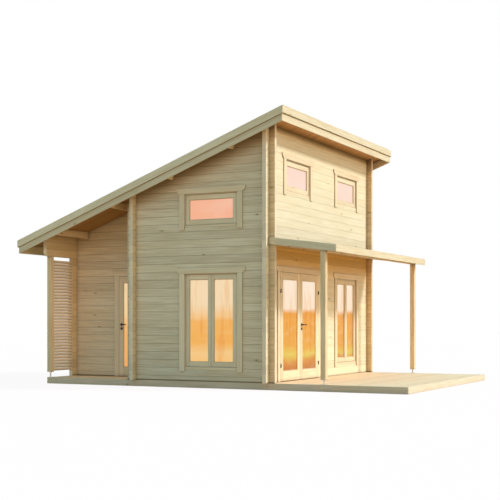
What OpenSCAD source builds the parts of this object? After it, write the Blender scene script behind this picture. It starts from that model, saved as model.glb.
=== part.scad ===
// Log sauna cabin with a mono-pitch roof, a canopy over the front terrace and a recessed rear porch.
// Millimetres, +Z up. The ground is z = 0 and the origin is the middle of the whole footprint.
// The plan is drawn with x = 0 on the left gable's outer face and y = 0 on the front wall's outer face.

/* [House] */
// Width of the house along the front, over the gable walls
house_w = 4710; // [4300:10:5400]
// Depth of the house, from the front wall's face to the rear wall's face
house_d = 4610; // [4400:10:5000]
// Depth of the main block, from the front wall's face to the porch face of the cross wall
main_d = 2710; // [2500:10:2850]
// How far the porch wall stands back from the left gable's face
porch_d = 850; // [800:10:1000]

/* [Logs] */
// Thickness of a wall log
wall_t = 70; // [58:1:90]
// Height of one course of logs
course_h = 140; // [120:2:160]
// Height of the first log of the walls that run from front to rear
first_log_h = 90; // [70:1:110]
// Depth of the V groove between two logs
groove = 4; // [3:0.5:10]
// How far the log ends run past each corner
log_end = 110; // [90:5:150]

/* [Platform] */
// How far the terrace reaches in front of the house
terrace_d = 2450; // [1800:10:3000]
// Height of the bearers under the floors
bearer_h = 87; // [60:1:120]
// Width of a bearer
bearer_w = 60; // [40:1:90]
// Number of bearers
bearer_count = 9; // [6:1:12]
// Thickness of the floor boards
floor_t = 28; // [20:1:40]
// Thickness of the skirt boards round the platform
skirt_t = 22; // [18:1:30]

/* [Roof] */
// Height of the soffit over the rear wall's face
eaves_h = 2748; // [2600:2:3000]
// Pitch of the roof, falling to the rear
roof_pitch = 20.55; // [18:0.05:21]
// Overhang past the gable walls
side_overhang = 290; // [200:5:400]
// Overhang past the front wall
front_overhang = 380; // [250:5:450]
// Overhang past the rear wall
rear_overhang = 430; // [250:5:500]
// Upright thickness of the roof boards
roof_board_t = 28; // [18:1:32]
// Upright thickness of the insulation and felt over the boards
covering_t = 45; // [20:1:50]
// Thickness of the barge and eaves boards
barge_t = 22; // [18:1:28]
// How far the lower barge board hangs below the soffit
lower_barge_drop = 159; // [130:1:190]
// How far the upper barge board laps down below the soffit
upper_barge_drop = 40; // [20:1:70]
// How far the upper barge board stands above the soffit
upper_barge_rise = 89; // [80:1:110]
// Width of a purlin
purlin_w = 50; // [40:1:70]
// Height of a purlin
purlin_h = 120; // [90:1:150]
// Number of purlins
purlin_count = 4; // [3:1:6]
// Distance of the first purlin's middle from the front wall's face
purlin_front = 680; // [560:10:760]
// Distance of the last purlin's middle from the rear wall's face
purlin_rear = 330; // [200:10:420]

/* [Canopy] */
// How far the canopy reaches in front of the house
canopy_d = 1226; // [1000:2:1500]
// Height of the canopy fascia's lower edge at the front above the double door's casing
canopy_clear = 185; // [120:1:300]
// Rise of the canopy from its front edge to the wall
canopy_rise = 158; // [80:2:220]
// Thickness of the canopy's fascia boards
canopy_fascia_t = 23; // [18:1:28]
// Upright height of the rafters
rafter_h = 90; // [70:1:120]
// Width of a rafter
rafter_w = 45; // [38:1:70]
// Number of rafters between the two side beams
rafter_count = 6; // [4:1:8]
// Thickness of the ledger on the front wall
ledger_t = 45; // [30:1:60]
// Thickness of the canopy's boards
canopy_board_t = 20; // [16:1:28]
// Thickness of the felt on the canopy
canopy_felt_t = 8; // [4:1:12]
// How far the fascia stands above the felt
canopy_lip = 2; // [1:1:10]
// How far the front beam hangs below the fascia's lower edge
beam_drop = 16; // [5:1:40]
// Distance from the canopy's front edge to the front beam
beam_setback = 196; // [120:2:300]

/* [Posts] */
// Width of a square post
post_w = 90; // [70:1:110]
// Height of the screw feet under the canopy posts
canopy_foot_h = 85; // [70:1:120]
// Height of the screw foot under the porch post
porch_foot_h = 105; // [70:1:140]
// Thickness of a screw foot's plates
foot_plate_t = 6; // [4:1:10]
// Diameter of a screw foot's threaded rod
foot_rod_d = 24; // [16:1:30]
// Height of a screw foot's nut
foot_nut_h = 18; // [12:1:24]
// Width of a screw foot's nut over its flats
foot_nut_w = 36; // [30:1:46]

/* [Porch] */
// How far the rear wall runs past the porch wall towards the screen
stub_l = 155; // [140:5:260]
// Bevel on the lower corner of the lintel's free end
lintel_bevel = 55; // [20:1:80]
// Least height of the lintel logs over the porch, under the soffit
lintel_h = 360; // [280:5:480]
// Height of the screen's lower edge above the platform
screen_z = 117; // [80:1:200]
// Gap between the screen and the lintel
screen_gap = 62; // [40:1:200]
// Height of a slat
slat_h = 52; // [30:1:60]
// Gap between neighbouring slats
slat_gap = 4.3; // [3:0.1:25]
// Thickness of a slat
slat_t = 20; // [15:1:25]
// Width and thickness of the upright battens that carry the slats
batten_w = 34; // [25:1:40]

/* [Windows] */
// Width of a window's frame
window_w = 1100; // [900:10:1200]
// Height of a tall window's frame
tall_h = 1700; // [1500:10:1800]
// Height of a loft window's frame
loft_h = 620; // [500:10:700]
// Height of the tall windows' frames above the platform
tall_rise = 205; // [150:5:300]
// Distance of the gable loft windows' frames below the soffit over their middle
gable_loft_drop = 648; // [560:2:800]
// Distance of the front loft windows' frames below the soffit over the front wall
front_loft_drop = 466; // [400:2:600]
// Distance of the gable windows' middle from the front wall's face
gable_window_y = 1115; // [1000:5:1300]
// Distance of the right front windows' middle from the right gable's face
right_window_x = 1195; // [1000:5:1300]
// Distance of the left front loft window's middle from the left gable's face
left_window_x = 1195; // [1000:5:1300]
// Face width of a window's or door's frame
frame_w = 45; // [35:1:60]
// Gap between a frame and the logs at its sides
frame_fit = 3; // [1:1:8]
// Gap left over a frame for the logs to settle
settle_gap = 20; // [10:1:28]
// Half width of the two meeting stiles
sash_meet = 56; // [45:1:70]
// Width of a sash's outer stile
sash_stile = 75; // [50:1:90]
// Height of a sash's rails
sash_rail = 88; // [60:1:110]
// Depth of a sash's face behind the wall's face
sash_inset = 12; // [5:1:20]
// Thickness of a sash
sash_t = 45; // [40:1:48]
// Gap round a sash on its face
sash_gap = 4; // [2:1:6]
// Thickness of a pane
pane_t = 14; // [8:1:18]
// How far a pane sits in its groove
pane_bite = 8; // [5:1:15]

/* [Casings] */
// Width of a casing board
casing_w = 100; // [80:1:120]
// Thickness of a casing board
casing_t = 20; // [16:1:25]
// How far a window's casing laps onto its frame
casing_lap = 30; // [10:1:40]
// How far a window's side casings run below the frame
casing_drop = 35; // [30:1:60]
// How far the head casing runs past the side casings
casing_ear = 55; // [20:1:70]
// Bevel on the lower corners of the head casing
ear_bevel = 48; // [10:1:60]

/* [Doors] */
// Distance of the double door's left edge from the left gable's face
door_x = 430; // [400:5:500]
// Width of the double door's two leaves with the gap between them
door_w = 1625; // [1500:5:1660]
// Gap between the porch door's casing and the cross wall
porch_casing_gap = 5; // [2:1:40]
// Width of the porch door's leaf
porch_door_w = 680; // [600:5:720]
// Height of a leaf
leaf_h = 1882; // [1800:2:1950]
// Thickness of a leaf
leaf_t = 45; // [38:1:50]
// Width of a leaf's stiles
stile_w = 100; // [80:1:120]
// Height of a leaf's top rail
top_rail_h = 120; // [90:1:150]
// Height of a leaf's bottom rail
bottom_rail_h = 170; // [120:1:220]
// Gap round a closed leaf
leaf_gap = 5; // [5:0.5:8]
// Gap between the two leaves of the double door
meeting_gap = 8; // [8:0.5:12]
// Gap under a leaf
under_gap = 6; // [5:0.5:12]
// Thickness of the threshold
threshold_t = 5; // [4:1:12]
// How far the stop reaches in from the frame behind the leaf
stop_w = 15; // [10:1:25]

/* [Hardware] */
// Height of the lower hinges above the leaf's lower edge
lower_hinge_h = 270; // [150:5:400]
// Distance of the upper hinges below the leaf's upper edge
upper_hinge_gap = 325; // [150:5:400]
// Radius of a hinge barrel
barrel_r = 8; // [7:0.5:9]
// Length of half a hinge barrel
barrel_l = 32; // [25:1:60]
// Radius of a hinge pin
pin_r = 4; // [3:0.5:5]
// Gap round a hinge pin and between the barrel's two halves
pin_gap = 0.5; // [0.3:0.1:0.8]
// Thickness of a hinge plate
plate_t = 2.5; // [2:0.5:4]
// Width of a hinge plate
plate_w = 16; // [12:1:45]
// Gap between a barrel and the faces behind it
barrel_gap = 1.5; // [1:0.1:2]
// Height of the lever handles above the leaf's lower edge
handle_z = 974; // [800:2:1100]
// Distance of a handle from the leaf's free edge
handle_set = 60; // [40:1:80]
// Radius of a handle's rose
rose_r = 24; // [18:1:30]
// Thickness of a handle's rose
rose_t = 8; // [5:1:12]
// Distance of the lever's middle from the leaf's face
lever_out = 48; // [40:1:60]
// Length of a lever
lever_l = 118; // [90:1:140]
// Radius of a lever
lever_r = 9; // [7:0.5:11]
// Distance of the key rose below the handle
key_drop = 75; // [60:1:100]

/* [Hidden] */
$fn = 48;
// Extra length of a cutting shape past the faces that it cuts
cut = 5;
// Share of a sash's thickness that stands clear of the frame
sash_step = 0.4;
// Play between two sloping faces that lie on each other
seat = 0.1;
slope = tan(roof_pitch);
soffit_h = eaves_h + slope * house_d;
base_h = bearer_h + floor_t;
front_edge = -terrace_d;
rear_edge = house_d + rear_overhang + barge_t;
canopy_fascia_h = rafter_h + canopy_board_t + canopy_felt_t + canopy_lip;
leaf_z = base_h + threshold_t + under_gap;
leaf_top = leaf_z + leaf_h;
door_head_z = leaf_top + leaf_gap + frame_w;
door_cut_z = door_head_z + settle_gap;
canopy_h = leaf_top + leaf_gap + casing_w + canopy_clear;
tall_z = base_h + tall_rise;
gable_loft_z = soffit(gable_window_y) - gable_loft_drop - loft_h;
front_loft_z = soffit_h - front_loft_drop - loft_h;
door_mid = door_x + door_w / 2;
porch_door_mid = main_d + porch_casing_gap + casing_ear + casing_w + leaf_gap + porch_door_w / 2;
door_hole_half = door_w / 2 + leaf_gap + frame_w + frame_fit;
porch_hole_half = porch_door_w / 2 + leaf_gap + frame_w + frame_fit;
right_window_mid = house_w - right_window_x;
casing_in = window_w / 2 - casing_lap;
rear_y = house_d - wall_t;
cross_y = main_d - wall_t;
right_x = house_w - wall_t;
leaf_face = -casing_t;
leaf_back = leaf_face + leaf_t;
axis_out = leaf_face - barrel_gap - barrel_r;
beam_y0 = beam_setback - canopy_d;
beam_y1 = beam_y0 + post_w;
beam_z = canopy_line((beam_y0 + beam_y1) / 2) - beam_drop;
purlin_pitch = (house_d - purlin_front - purlin_rear) / (purlin_count - 1);
purlin_ys = [for (i = [0 : purlin_count - 1]) purlin_front + i * purlin_pitch];
// The courses of the walls along x sit half a course above those of the walls along y
joint_y = base_h + first_log_h;
joint_x = joint_y + course_h / 2;
door_split_z = joint_above(joint_x, door_cut_z);
porch_split_z = joint_above(joint_y, door_cut_z);
lintel_z = joint_above(joint_x, eaves_h - lintel_h) - course_h;
barge_in = side_overhang - barge_t;

log_colour = [0.80, 0.70, 0.52];
board_colour = [0.86, 0.74, 0.54];
deck_colour = [0.74, 0.60, 0.42];
felt_colour = [0.25, 0.26, 0.27];
glass_colour = [0.95, 0.75, 0.62];
metal_colour = [0.16, 0.15, 0.14];
zinc_colour = [0.66, 0.67, 0.68];

// Height of the soffit at a place y
function soffit(y) = soffit_h - slope * y;
// Height of the canopy fascia's lower edge at a place y
function canopy_line(y) = canopy_h + canopy_rise * (y + canopy_d) / canopy_d;
// First course joint above a height
function joint_above(first, z) = first + course_h * (floor((z - first) / course_h) + 1);
// A strip between two places y that follows a falling line, from one height above it to another
function strip(y0, y1, z0, z1, low, high) =
    [[y0, z0 + low], [y1, z1 + low], [y1, z1 + high], [y0, z0 + high]];
function roof_strip(y0, y1, low, high) = strip(y0, y1, soffit(y0), soffit(y1), low, high);
function canopy_strip(y0, y1, low, high) = strip(y0, y1, canopy_line(y0), canopy_line(y1), low, high);
// Points up one face of a log wall, with a V groove at each joint
function log_face(face, depth, joints) =
    [for (z = joints) each [[face, z - groove], [face + depth, z], [face, z + groove]]];
function reversed(list) = [for (i = [len(list) - 1 : -1 : 0]) list[i]];

module centred() {
    translate([-house_w / 2, -(front_edge + rear_edge) / 2, 0]) children();
}

// Extrudes a (y, z) outline along x
module along_x(x0, x1) {
    translate([x0, 0, 0]) rotate([90, 0, 90]) linear_extrude(x1 - x0) children();
}

// Extrudes an (x, z) outline along y
module along_y(y0, y1) {
    translate([0, y1, 0]) rotate([90, 0, 0]) linear_extrude(y1 - y0) children();
}

module box(low, high) {
    translate(low) cube(high - low);
}

module rect(low, high) {
    translate(low) square(high - low);
}

// Repeats a shape of the left side on the right side
module both_sides() {
    children();
    translate([house_w, 0, 0]) mirror([1, 0, 0]) children();
}

// Cross-section of stacked logs, from the platform to a top height at each face
module log_section(face, first, top_outer, top_inner) {
    top = max(top_outer, top_inner);
    joints = [for (z = [first : course_h : top]) if (z < min(top_outer, top_inner) - 2 * groove) z];
    outer = log_face(face, groove, joints);
    inner = log_face(face + wall_t, -groove, joints);
    polygon(concat([[face, base_h]], outer, [[face, top_outer], [face + wall_t, top_inner]],
                   reversed(inner), [[face + wall_t, base_h]]));
}

// Wall of logs along x, cut to the (x, z) outline of its children
module logs_along_x(face, x0, x1) {
    color(log_colour) intersection() {
        along_x(x0, x1) log_section(face, joint_x, soffit(face), soffit(face + wall_t));
        along_y(face - cut, face + wall_t + cut) children();
    }
}

// Wall of logs along y, cut to the (y, z) outline of its children
module logs_along_y(face, y0, y1) {
    color(log_colour) intersection() {
        along_y(y0, y1) log_section(face, joint_y, soffit(y0), soffit(y0));
        along_x(face - cut, face + wall_t + cut) children();
    }
}

// Outline of a wall along y under the sloping roof
module gable_outline(y0, y1, z0) {
    polygon([[y0, z0], [y1, z0], [y1, soffit(y1)], [y0, soffit(y0)]]);
}

// Corner interlock. Where two walls cross, each log keeps the middle half of its height and is
// notched by a quarter above and below, so the notches of one wall hold the logs of the other.
// The first cut of walls along x is under their first log.
module corner_notches(place, along) {
    step = course_h / 2;
    first = joint_y - course_h / 4;
    start = along == "x" ? first + step : first;
    if (along == "x") rect([place, base_h - cut], [place + wall_t, first]);
    for (z = [start : 2 * step : soffit(-log_end)]) rect([place, z], [place + wall_t, z + step]);
}

module window_hole(middle, z, h) {
    half = window_w / 2 + frame_fit;
    rect([middle - half, z], [middle + half, z + h + settle_gap]);
}

// Outline of one purlin, its top bevelled to the boards
module purlin_outline(y) {
    half = purlin_w / 2;
    polygon([[y - half, soffit(y) - purlin_h], [y + half, soffit(y) - purlin_h],
             [y + half, soffit(y + half)], [y - half, soffit(y - half)]]);
}

// Slots for the purlins, open at the wall's top
module purlin_pockets() {
    half = purlin_w / 2;
    for (y = purlin_ys) rect([y - half, soffit(y) - purlin_h], [y + half, soffit(y - half) + cut]);
}

// Platform

module base_bearers() {
    run = house_w - 2 * skirt_t - bearer_w;
    color(deck_colour) for (i = [0 : bearer_count - 1]) {
        x = skirt_t + i * run / (bearer_count - 1);
        box([x, front_edge + skirt_t, 0], [x + bearer_w, house_d - skirt_t, bearer_h]);
    }
}

module side_skirts() {
    color(board_colour) both_sides()
        box([0, front_edge + skirt_t, 0], [skirt_t, house_d - skirt_t, base_h]);
}

module end_skirts() {
    color(board_colour) {
        box([0, front_edge, 0], [house_w, front_edge + skirt_t, base_h]);
        box([0, house_d - skirt_t, 0], [house_w, house_d, base_h]);
    }
}

module outdoor_decks() {
    color(deck_colour) {
        box([skirt_t, front_edge + skirt_t, bearer_h], [house_w - skirt_t, 0, base_h]);
        box([skirt_t, main_d, bearer_h], [porch_d, house_d - skirt_t, base_h]);
    }
}

module room_floor() {
    color(deck_colour) translate([0, 0, bearer_h]) linear_extrude(floor_t)
        polygon([[skirt_t, 0], [house_w - skirt_t, 0], [house_w - skirt_t, house_d - skirt_t],
                 [porch_d, house_d - skirt_t], [porch_d, main_d], [skirt_t, main_d]]);
}

// Log walls

module left_gable_wall() {
    y1 = main_d + log_end;
    logs_along_y(0, -log_end, y1) difference() {
        gable_outline(-log_end, y1, base_h);
        window_hole(gable_window_y, tall_z, tall_h);
        window_hole(gable_window_y, gable_loft_z, loft_h);
        purlin_pockets();
        corner_notches(0, "y");
        corner_notches(cross_y, "y");
    }
}

module right_gable_wall() {
    y1 = house_d + log_end;
    logs_along_y(right_x, -log_end, y1) difference() {
        gable_outline(-log_end, y1, base_h);
        window_hole(gable_window_y, tall_z, tall_h);
        window_hole(gable_window_y, gable_loft_z, loft_h);
        purlin_pockets();
        corner_notches(0, "y");
        corner_notches(rear_y, "y");
    }
}

module front_wall_outline(z0, z1) {
    difference() {
        rect([-log_end, z0], [house_w + log_end, z1]);
        window_hole(right_window_mid, tall_z, tall_h);
        window_hole(right_window_mid, front_loft_z, loft_h);
        window_hole(left_window_x, front_loft_z, loft_h);
        corner_notches(0, "x");
        corner_notches(right_x, "x");
    }
}

// One side of the front doorway, up to the joint over the door
module front_wall_side(x0, x1) {
    logs_along_x(0, x0, x1) intersection() {
        front_wall_outline(base_h, door_split_z);
        rect([x0, base_h], [x1, door_split_z]);
    }
}

module front_wall_left() {
    front_wall_side(-log_end, door_mid - door_hole_half);
}

module front_wall_right() {
    front_wall_side(door_mid + door_hole_half, house_w + log_end);
}

module front_wall_upper() {
    logs_along_x(0, -log_end, house_w + log_end) {
        front_wall_outline(door_split_z, soffit_h);
        rect([door_mid - door_hole_half, door_cut_z], [door_mid + door_hole_half, door_split_z]);
    }
}

module porch_cross_wall() {
    x1 = porch_d + wall_t + log_end;
    logs_along_x(cross_y, -log_end, x1) difference() {
        rect([-log_end, base_h], [x1, soffit(cross_y)]);
        corner_notches(0, "x");
        corner_notches(porch_d, "x");
    }
}

module porch_wall_outline(z0) {
    difference() {
        gable_outline(cross_y - log_end, house_d + log_end, z0);
        purlin_pockets();
        corner_notches(cross_y, "y");
        corner_notches(rear_y, "y");
    }
}

// One side of the porch doorway, up to the joint over the door
module porch_wall_side(y0, y1) {
    logs_along_y(porch_d, y0, y1) intersection() {
        porch_wall_outline(base_h);
        rect([y0, base_h], [y1, porch_split_z]);
    }
}

module porch_wall_front() {
    porch_wall_side(cross_y - log_end, porch_door_mid - porch_hole_half);
}

module porch_wall_rear() {
    porch_wall_side(porch_door_mid + porch_hole_half, house_d + log_end);
}

module porch_wall_upper() {
    logs_along_y(porch_d, cross_y - log_end, house_d + log_end) {
        porch_wall_outline(porch_split_z);
        rect([porch_door_mid - porch_hole_half, door_cut_z],
             [porch_door_mid + porch_hole_half, porch_split_z]);
    }
}

module rear_wall_lower() {
    x0 = porch_d - stub_l;
    logs_along_x(rear_y, x0, house_w + log_end) difference() {
        rect([x0, base_h], [house_w + log_end, lintel_z]);
        corner_notches(porch_d, "x");
        corner_notches(right_x, "x");
    }
}

// The upper logs run on as the lintel over the porch, with the free end's lower corner bevelled
module rear_wall_upper() {
    logs_along_x(rear_y, -log_end, house_w + log_end) difference() {
        rect([-log_end, lintel_z], [house_w + log_end, soffit(rear_y)]);
        polygon([[-log_end - cut, lintel_z - cut], [lintel_bevel - log_end + cut, lintel_z - cut],
                 [-log_end - cut, lintel_z + lintel_bevel + cut]]);
        corner_notches(porch_d, "x");
        corner_notches(right_x, "x");
    }
}

// Roof

module roof_purlins() {
    color(board_colour) for (y = purlin_ys) along_x(-barge_in, house_w + barge_in) purlin_outline(y);
}

module roof_boards() {
    color(board_colour) along_x(-barge_in, house_w + barge_in)
        polygon(roof_strip(barge_t - front_overhang, house_d + rear_overhang - barge_t, seat, roof_board_t));
}

// The covering runs out over the rear eaves so that rain drips clear
module roof_covering() {
    color(felt_colour) along_x(-side_overhang, house_w + side_overhang)
        polygon(roof_strip(-front_overhang, rear_edge, roof_board_t + seat, roof_board_t + covering_t));
}

module lower_barge_boards() {
    color(board_colour) both_sides() along_x(-side_overhang, -barge_in)
        polygon(roof_strip(-front_overhang, house_d + rear_overhang, -lower_barge_drop, roof_board_t));
}

module upper_barge_boards() {
    color(board_colour) both_sides() along_x(-side_overhang - barge_t, -side_overhang)
        polygon(roof_strip(-front_overhang - barge_t, rear_edge, -upper_barge_drop, upper_barge_rise));
}

// Board along an eaves from y0 to y1, its lower edge level with the barge board's at y_low
module eaves_board(x_out, y0, y1, y_low, drop, rise) {
    along_x(-x_out, house_w + x_out)
        polygon([[y0, soffit(y_low) - drop], [y1, soffit(y_low) - drop],
                 [y1, soffit(y1) + rise], [y0, soffit(y0) + rise]]);
}

module lower_eaves_boards() {
    front = -front_overhang;
    rear = house_d + rear_overhang;
    color(board_colour) {
        eaves_board(barge_in, front, front + barge_t, front, lower_barge_drop, roof_board_t);
        eaves_board(barge_in, rear - barge_t, rear, rear, lower_barge_drop, roof_board_t);
    }
}

module upper_eaves_boards() {
    front = -front_overhang;
    rear = house_d + rear_overhang;
    color(board_colour) {
        eaves_board(side_overhang, front - barge_t, front, front - barge_t,
                    upper_barge_drop, upper_barge_rise);
        eaves_board(side_overhang, rear, rear + barge_t, rear + barge_t,
                    upper_barge_drop, roof_board_t);
    }
}

// Canopy and posts

module posts() {
    color(board_colour) {
        both_sides() box([0, beam_y0, base_h + canopy_foot_h], [post_w, beam_y1, beam_z]);
        box([0, house_d - post_w, base_h + porch_foot_h], [post_w, house_d, lintel_z]);
    }
}

// Screw foot: two square plates, a threaded rod and its nut
module post_foot(h) {
    half = post_w / 2;
    box([-half, -half, 0], [half, half, foot_plate_t]);
    box([-half, -half, h - foot_plate_t], [half, half, h]);
    cylinder(h = h, d = foot_rod_d);
    translate([0, 0, h - foot_plate_t - foot_nut_h])
        cylinder(h = foot_nut_h, d = foot_nut_w / cos(30), $fn = 6);
}

module post_feet() {
    half = post_w / 2;
    color(zinc_colour) {
        both_sides() translate([half, beam_y0 + half, base_h]) post_foot(canopy_foot_h);
        translate([half, house_d - half, base_h]) post_foot(porch_foot_h);
    }
}

module canopy_beams() {
    color(board_colour) {
        along_x(0, house_w)
            polygon([[beam_y0, beam_z], [beam_y1, beam_z], [beam_y1, canopy_line(beam_y1) + rafter_h],
                     [beam_y0, canopy_line(beam_y0) + rafter_h]]);
        along_x(wall_t, house_w - wall_t)
            polygon([[-ledger_t, canopy_line(-ledger_t)], [0, canopy_line(-ledger_t)],
                     [0, canopy_line(0) + rafter_h], [-ledger_t, canopy_line(-ledger_t) + rafter_h]]);
    }
}

// A rafter hung between the wall side and the front beam, with its tail on the beam's far side
module rafter(x0, x1, wall_end) {
    along_x(x0, x1) polygon(canopy_strip(beam_y1, wall_end, 0, rafter_h));
    along_x(x0, x1) polygon(canopy_strip(canopy_fascia_t - canopy_d, beam_y0, 0, rafter_h));
}

module canopy_rafters() {
    pitch = (house_w - wall_t) / (rafter_count + 1);
    color(board_colour) {
        both_sides() rafter(0, wall_t, -log_end);
        for (i = [1 : rafter_count]) {
            middle = wall_t / 2 + i * pitch;
            rafter(middle - rafter_w / 2, middle + rafter_w / 2, -ledger_t);
        }
    }
}

// Sheet on the canopy, seated on what is under it and cut out round the gable's log ends
module canopy_sheet(low, high) {
    difference() {
        along_x(0, house_w) polygon(canopy_strip(canopy_fascia_t - canopy_d, 0, low + seat, high));
        both_sides() box([-cut, -log_end, canopy_h], [wall_t, cut, soffit_h]);
    }
}

module canopy_boards() {
    color(board_colour) canopy_sheet(rafter_h, rafter_h + canopy_board_t);
}

module canopy_covering() {
    felt_z = rafter_h + canopy_board_t;
    color(felt_colour) canopy_sheet(felt_z, felt_z + canopy_felt_t);
}

module canopy_side_fascias() {
    color(board_colour) both_sides() along_x(-canopy_fascia_t, 0)
        polygon(canopy_strip(-canopy_d, 0, 0, canopy_fascia_h));
}

module canopy_front_fascia() {
    color(board_colour)
        box([0, -canopy_d, canopy_h], [house_w, canopy_fascia_t - canopy_d, canopy_h + canopy_fascia_h]);
}

// Slats between the porch post and the rear wall's end, nailed to two upright battens
module slat_screen() {
    x0 = post_w;
    x1 = porch_d - stub_l;
    z0 = base_h + screen_z;
    z1 = lintel_z - screen_gap;
    y1 = house_d - batten_w;
    pitch = slat_h + slat_gap;
    last = floor((z1 - z0 - slat_h) / pitch);
    color(board_colour) {
        for (i = [0 : last]) {
            z = z0 + i * pitch;
            box([x0, y1 - slat_t, z], [x1, y1, z + slat_h]);
        }
        box([x0, y1, z0], [x0 + batten_w, house_d, z1]);
        box([x1 - batten_w, y1, z0], [x1, house_d, z1]);
    }
}

// Windows and doors are drawn with x along the wall from their middle, y = 0 on the wall's face
// and +y into the room, then turned onto their wall.

module on_front(x) {
    translate([x, 0, 0]) children();
}

module on_left(face, y) {
    translate([face, y, 0]) rotate([0, 0, -90]) children();
}

module on_right(y) {
    translate([house_w, y, 0]) rotate([0, 0, 90]) children();
}

// Head board over an opening, with bevelled ears past the side boards
module head_casing(half, z) {
    reach = half + casing_w + casing_ear;
    along_y(-casing_t, 0)
        polygon([[ear_bevel - reach, z], [reach - ear_bevel, z], [reach, z + ear_bevel],
                 [reach, z + casing_w], [-reach, z + casing_w], [-reach, z + ear_bevel]]);
}

module side_casings(half, z0, z1) {
    for (turn = [0, 1]) mirror([turn, 0, 0]) along_y(-casing_t, 0) rect([half, z0], [half + casing_w, z1]);
}

// The clear glass of a window with one sash or two
module sight_openings(z, h, sashes, grow) {
    side = window_w / 2 - frame_w - sash_stile + grow;
    low = z + frame_w + sash_rail - grow;
    high = z + h - frame_w - sash_rail + grow;
    if (sashes == 1) rect([-side, low], [side, high]);
    if (sashes == 2) for (turn = [0, 1]) mirror([turn, 0]) rect([sash_meet - grow, low], [side, high]);
}

module window_panes(z, h, sashes) {
    back = sash_inset + sash_t / 2 + pane_t;
    along_y(back - pane_t, back) sight_openings(z, h, sashes, pane_bite);
}

// A window: casing boards, frame and sashes, whose faces stand clear of the frame and of each other
module window(z, h, sashes) {
    inner = window_w / 2 - frame_w;
    seam = sash_inset + sash_t * sash_step;
    head_casing(casing_in, z + h - casing_lap);
    side_casings(casing_in, z - casing_drop, z + h - casing_lap);
    along_y(0, wall_t) difference() {
        rect([-window_w / 2, z], [window_w / 2, z + h]);
        rect([-inner, z + frame_w], [inner, z + h - frame_w]);
    }
    difference() {
        along_y(seam, sash_inset + sash_t) difference() {
            rect([-inner, z + frame_w], [inner, z + h - frame_w]);
            sight_openings(z, h, sashes, 0);
        }
        window_panes(z, h, sashes);
    }
    along_y(sash_inset, seam) difference() {
        rect([sash_gap - inner, z + frame_w + sash_gap], [inner - sash_gap, z + h - frame_w - sash_gap]);
        sight_openings(z, h, sashes, 0);
        if (sashes == 2) rect([-sash_gap, z], [sash_gap, z + h]);
    }
}

module tall_window() {
    window(tall_z, tall_h, 2);
}

module tall_panes() {
    window_panes(tall_z, tall_h, 2);
}

module loft_window(z) {
    window(z, loft_h, 1);
}

module loft_pane(z) {
    window_panes(z, loft_h, 1);
}

module left_gable_windows() {
    color(board_colour) on_left(0, gable_window_y) {
        tall_window();
        loft_window(gable_loft_z);
    }
}

module right_gable_windows() {
    color(board_colour) on_right(gable_window_y) {
        tall_window();
        loft_window(gable_loft_z);
    }
}

module front_windows() {
    color(board_colour) {
        on_front(right_window_mid) tall_window();
        on_front(right_window_mid) loft_window(front_loft_z);
        on_front(left_window_x) loft_window(front_loft_z);
    }
}

module left_gable_panes() {
    color(glass_colour) on_left(0, gable_window_y) {
        tall_panes();
        loft_pane(gable_loft_z);
    }
}

module right_gable_panes() {
    color(glass_colour) on_right(gable_window_y) {
        tall_panes();
        loft_pane(gable_loft_z);
    }
}

module front_panes() {
    color(glass_colour) {
        on_front(right_window_mid) tall_panes();
        on_front(right_window_mid) loft_pane(front_loft_z);
        on_front(left_window_x) loft_pane(front_loft_z);
    }
}

// Door frame: casing, jambs and head with a stop behind the leaf, and a threshold
module door_frame(w) {
    half = w / 2 + leaf_gap;
    head = leaf_top + leaf_gap;
    stop_y = leaf_back + leaf_gap;
    head_casing(half, head);
    side_casings(half, base_h, head);
    along_y(0, stop_y) difference() {
        rect([-half - frame_w, base_h], [half + frame_w, door_head_z]);
        rect([-half, base_h - cut], [half, head]);
    }
    along_y(stop_y, wall_t) difference() {
        rect([-half - frame_w, base_h], [half + frame_w, door_head_z]);
        rect([stop_w - half, base_h - cut], [half - stop_w, head - stop_w]);
    }
    box([-half, 0, base_h], [half, wall_t, base_h + threshold_t]);
}

module front_door_frame() {
    color(board_colour) on_front(door_mid) door_frame(door_w);
}

module porch_door_frame() {
    color(board_colour) on_left(porch_d, porch_door_mid) door_frame(porch_door_w);
}

module leaf_sight(x0, x1, grow) {
    rect([x0 + stile_w - grow, leaf_z + bottom_rail_h - grow],
         [x1 - stile_w + grow, leaf_top - top_rail_h + grow]);
}

module leaf_pane(x0, x1) {
    middle = leaf_face + leaf_t / 2;
    along_y(middle - pane_t / 2, middle + pane_t / 2) leaf_sight(x0, x1, pane_bite);
}

module leaf(x0, x1) {
    difference() {
        along_y(leaf_face, leaf_back) difference() {
            rect([x0, leaf_z], [x1, leaf_top]);
            leaf_sight(x0, x1, 0);
        }
        leaf_pane(x0, x1);
    }
}

hinge_zs = [leaf_z + lower_hinge_h, leaf_top - upper_hinge_gap];

// Upper half of each hinge: a bored barrel and the plate on the leaf, on the right of the axis
module leaf_hinges() {
    for (z = hinge_zs) translate([0, 0, z + pin_gap]) difference() {
        union() {
            translate([0, axis_out, 0]) cylinder(h = barrel_l, r = barrel_r);
            box([0, leaf_face - plate_t, 0], [plate_w, leaf_face, barrel_l]);
        }
        translate([0, axis_out, -cut]) cylinder(h = barrel_l + 2 * cut, r = pin_r + pin_gap);
    }
}

// Lower half of each hinge: a barrel with the pin, and the plate on the casing, on the left of the axis
module casing_hinges() {
    for (z = hinge_zs) translate([0, 0, z - pin_gap]) {
        translate([0, axis_out, -barrel_l]) cylinder(h = barrel_l, r = barrel_r);
        translate([0, axis_out, -barrel_l]) cylinder(h = 2 * barrel_l, r = pin_r);
        box([-plate_w, leaf_face - plate_t, -barrel_l], [0, leaf_face, 0]);
    }
}

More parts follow.
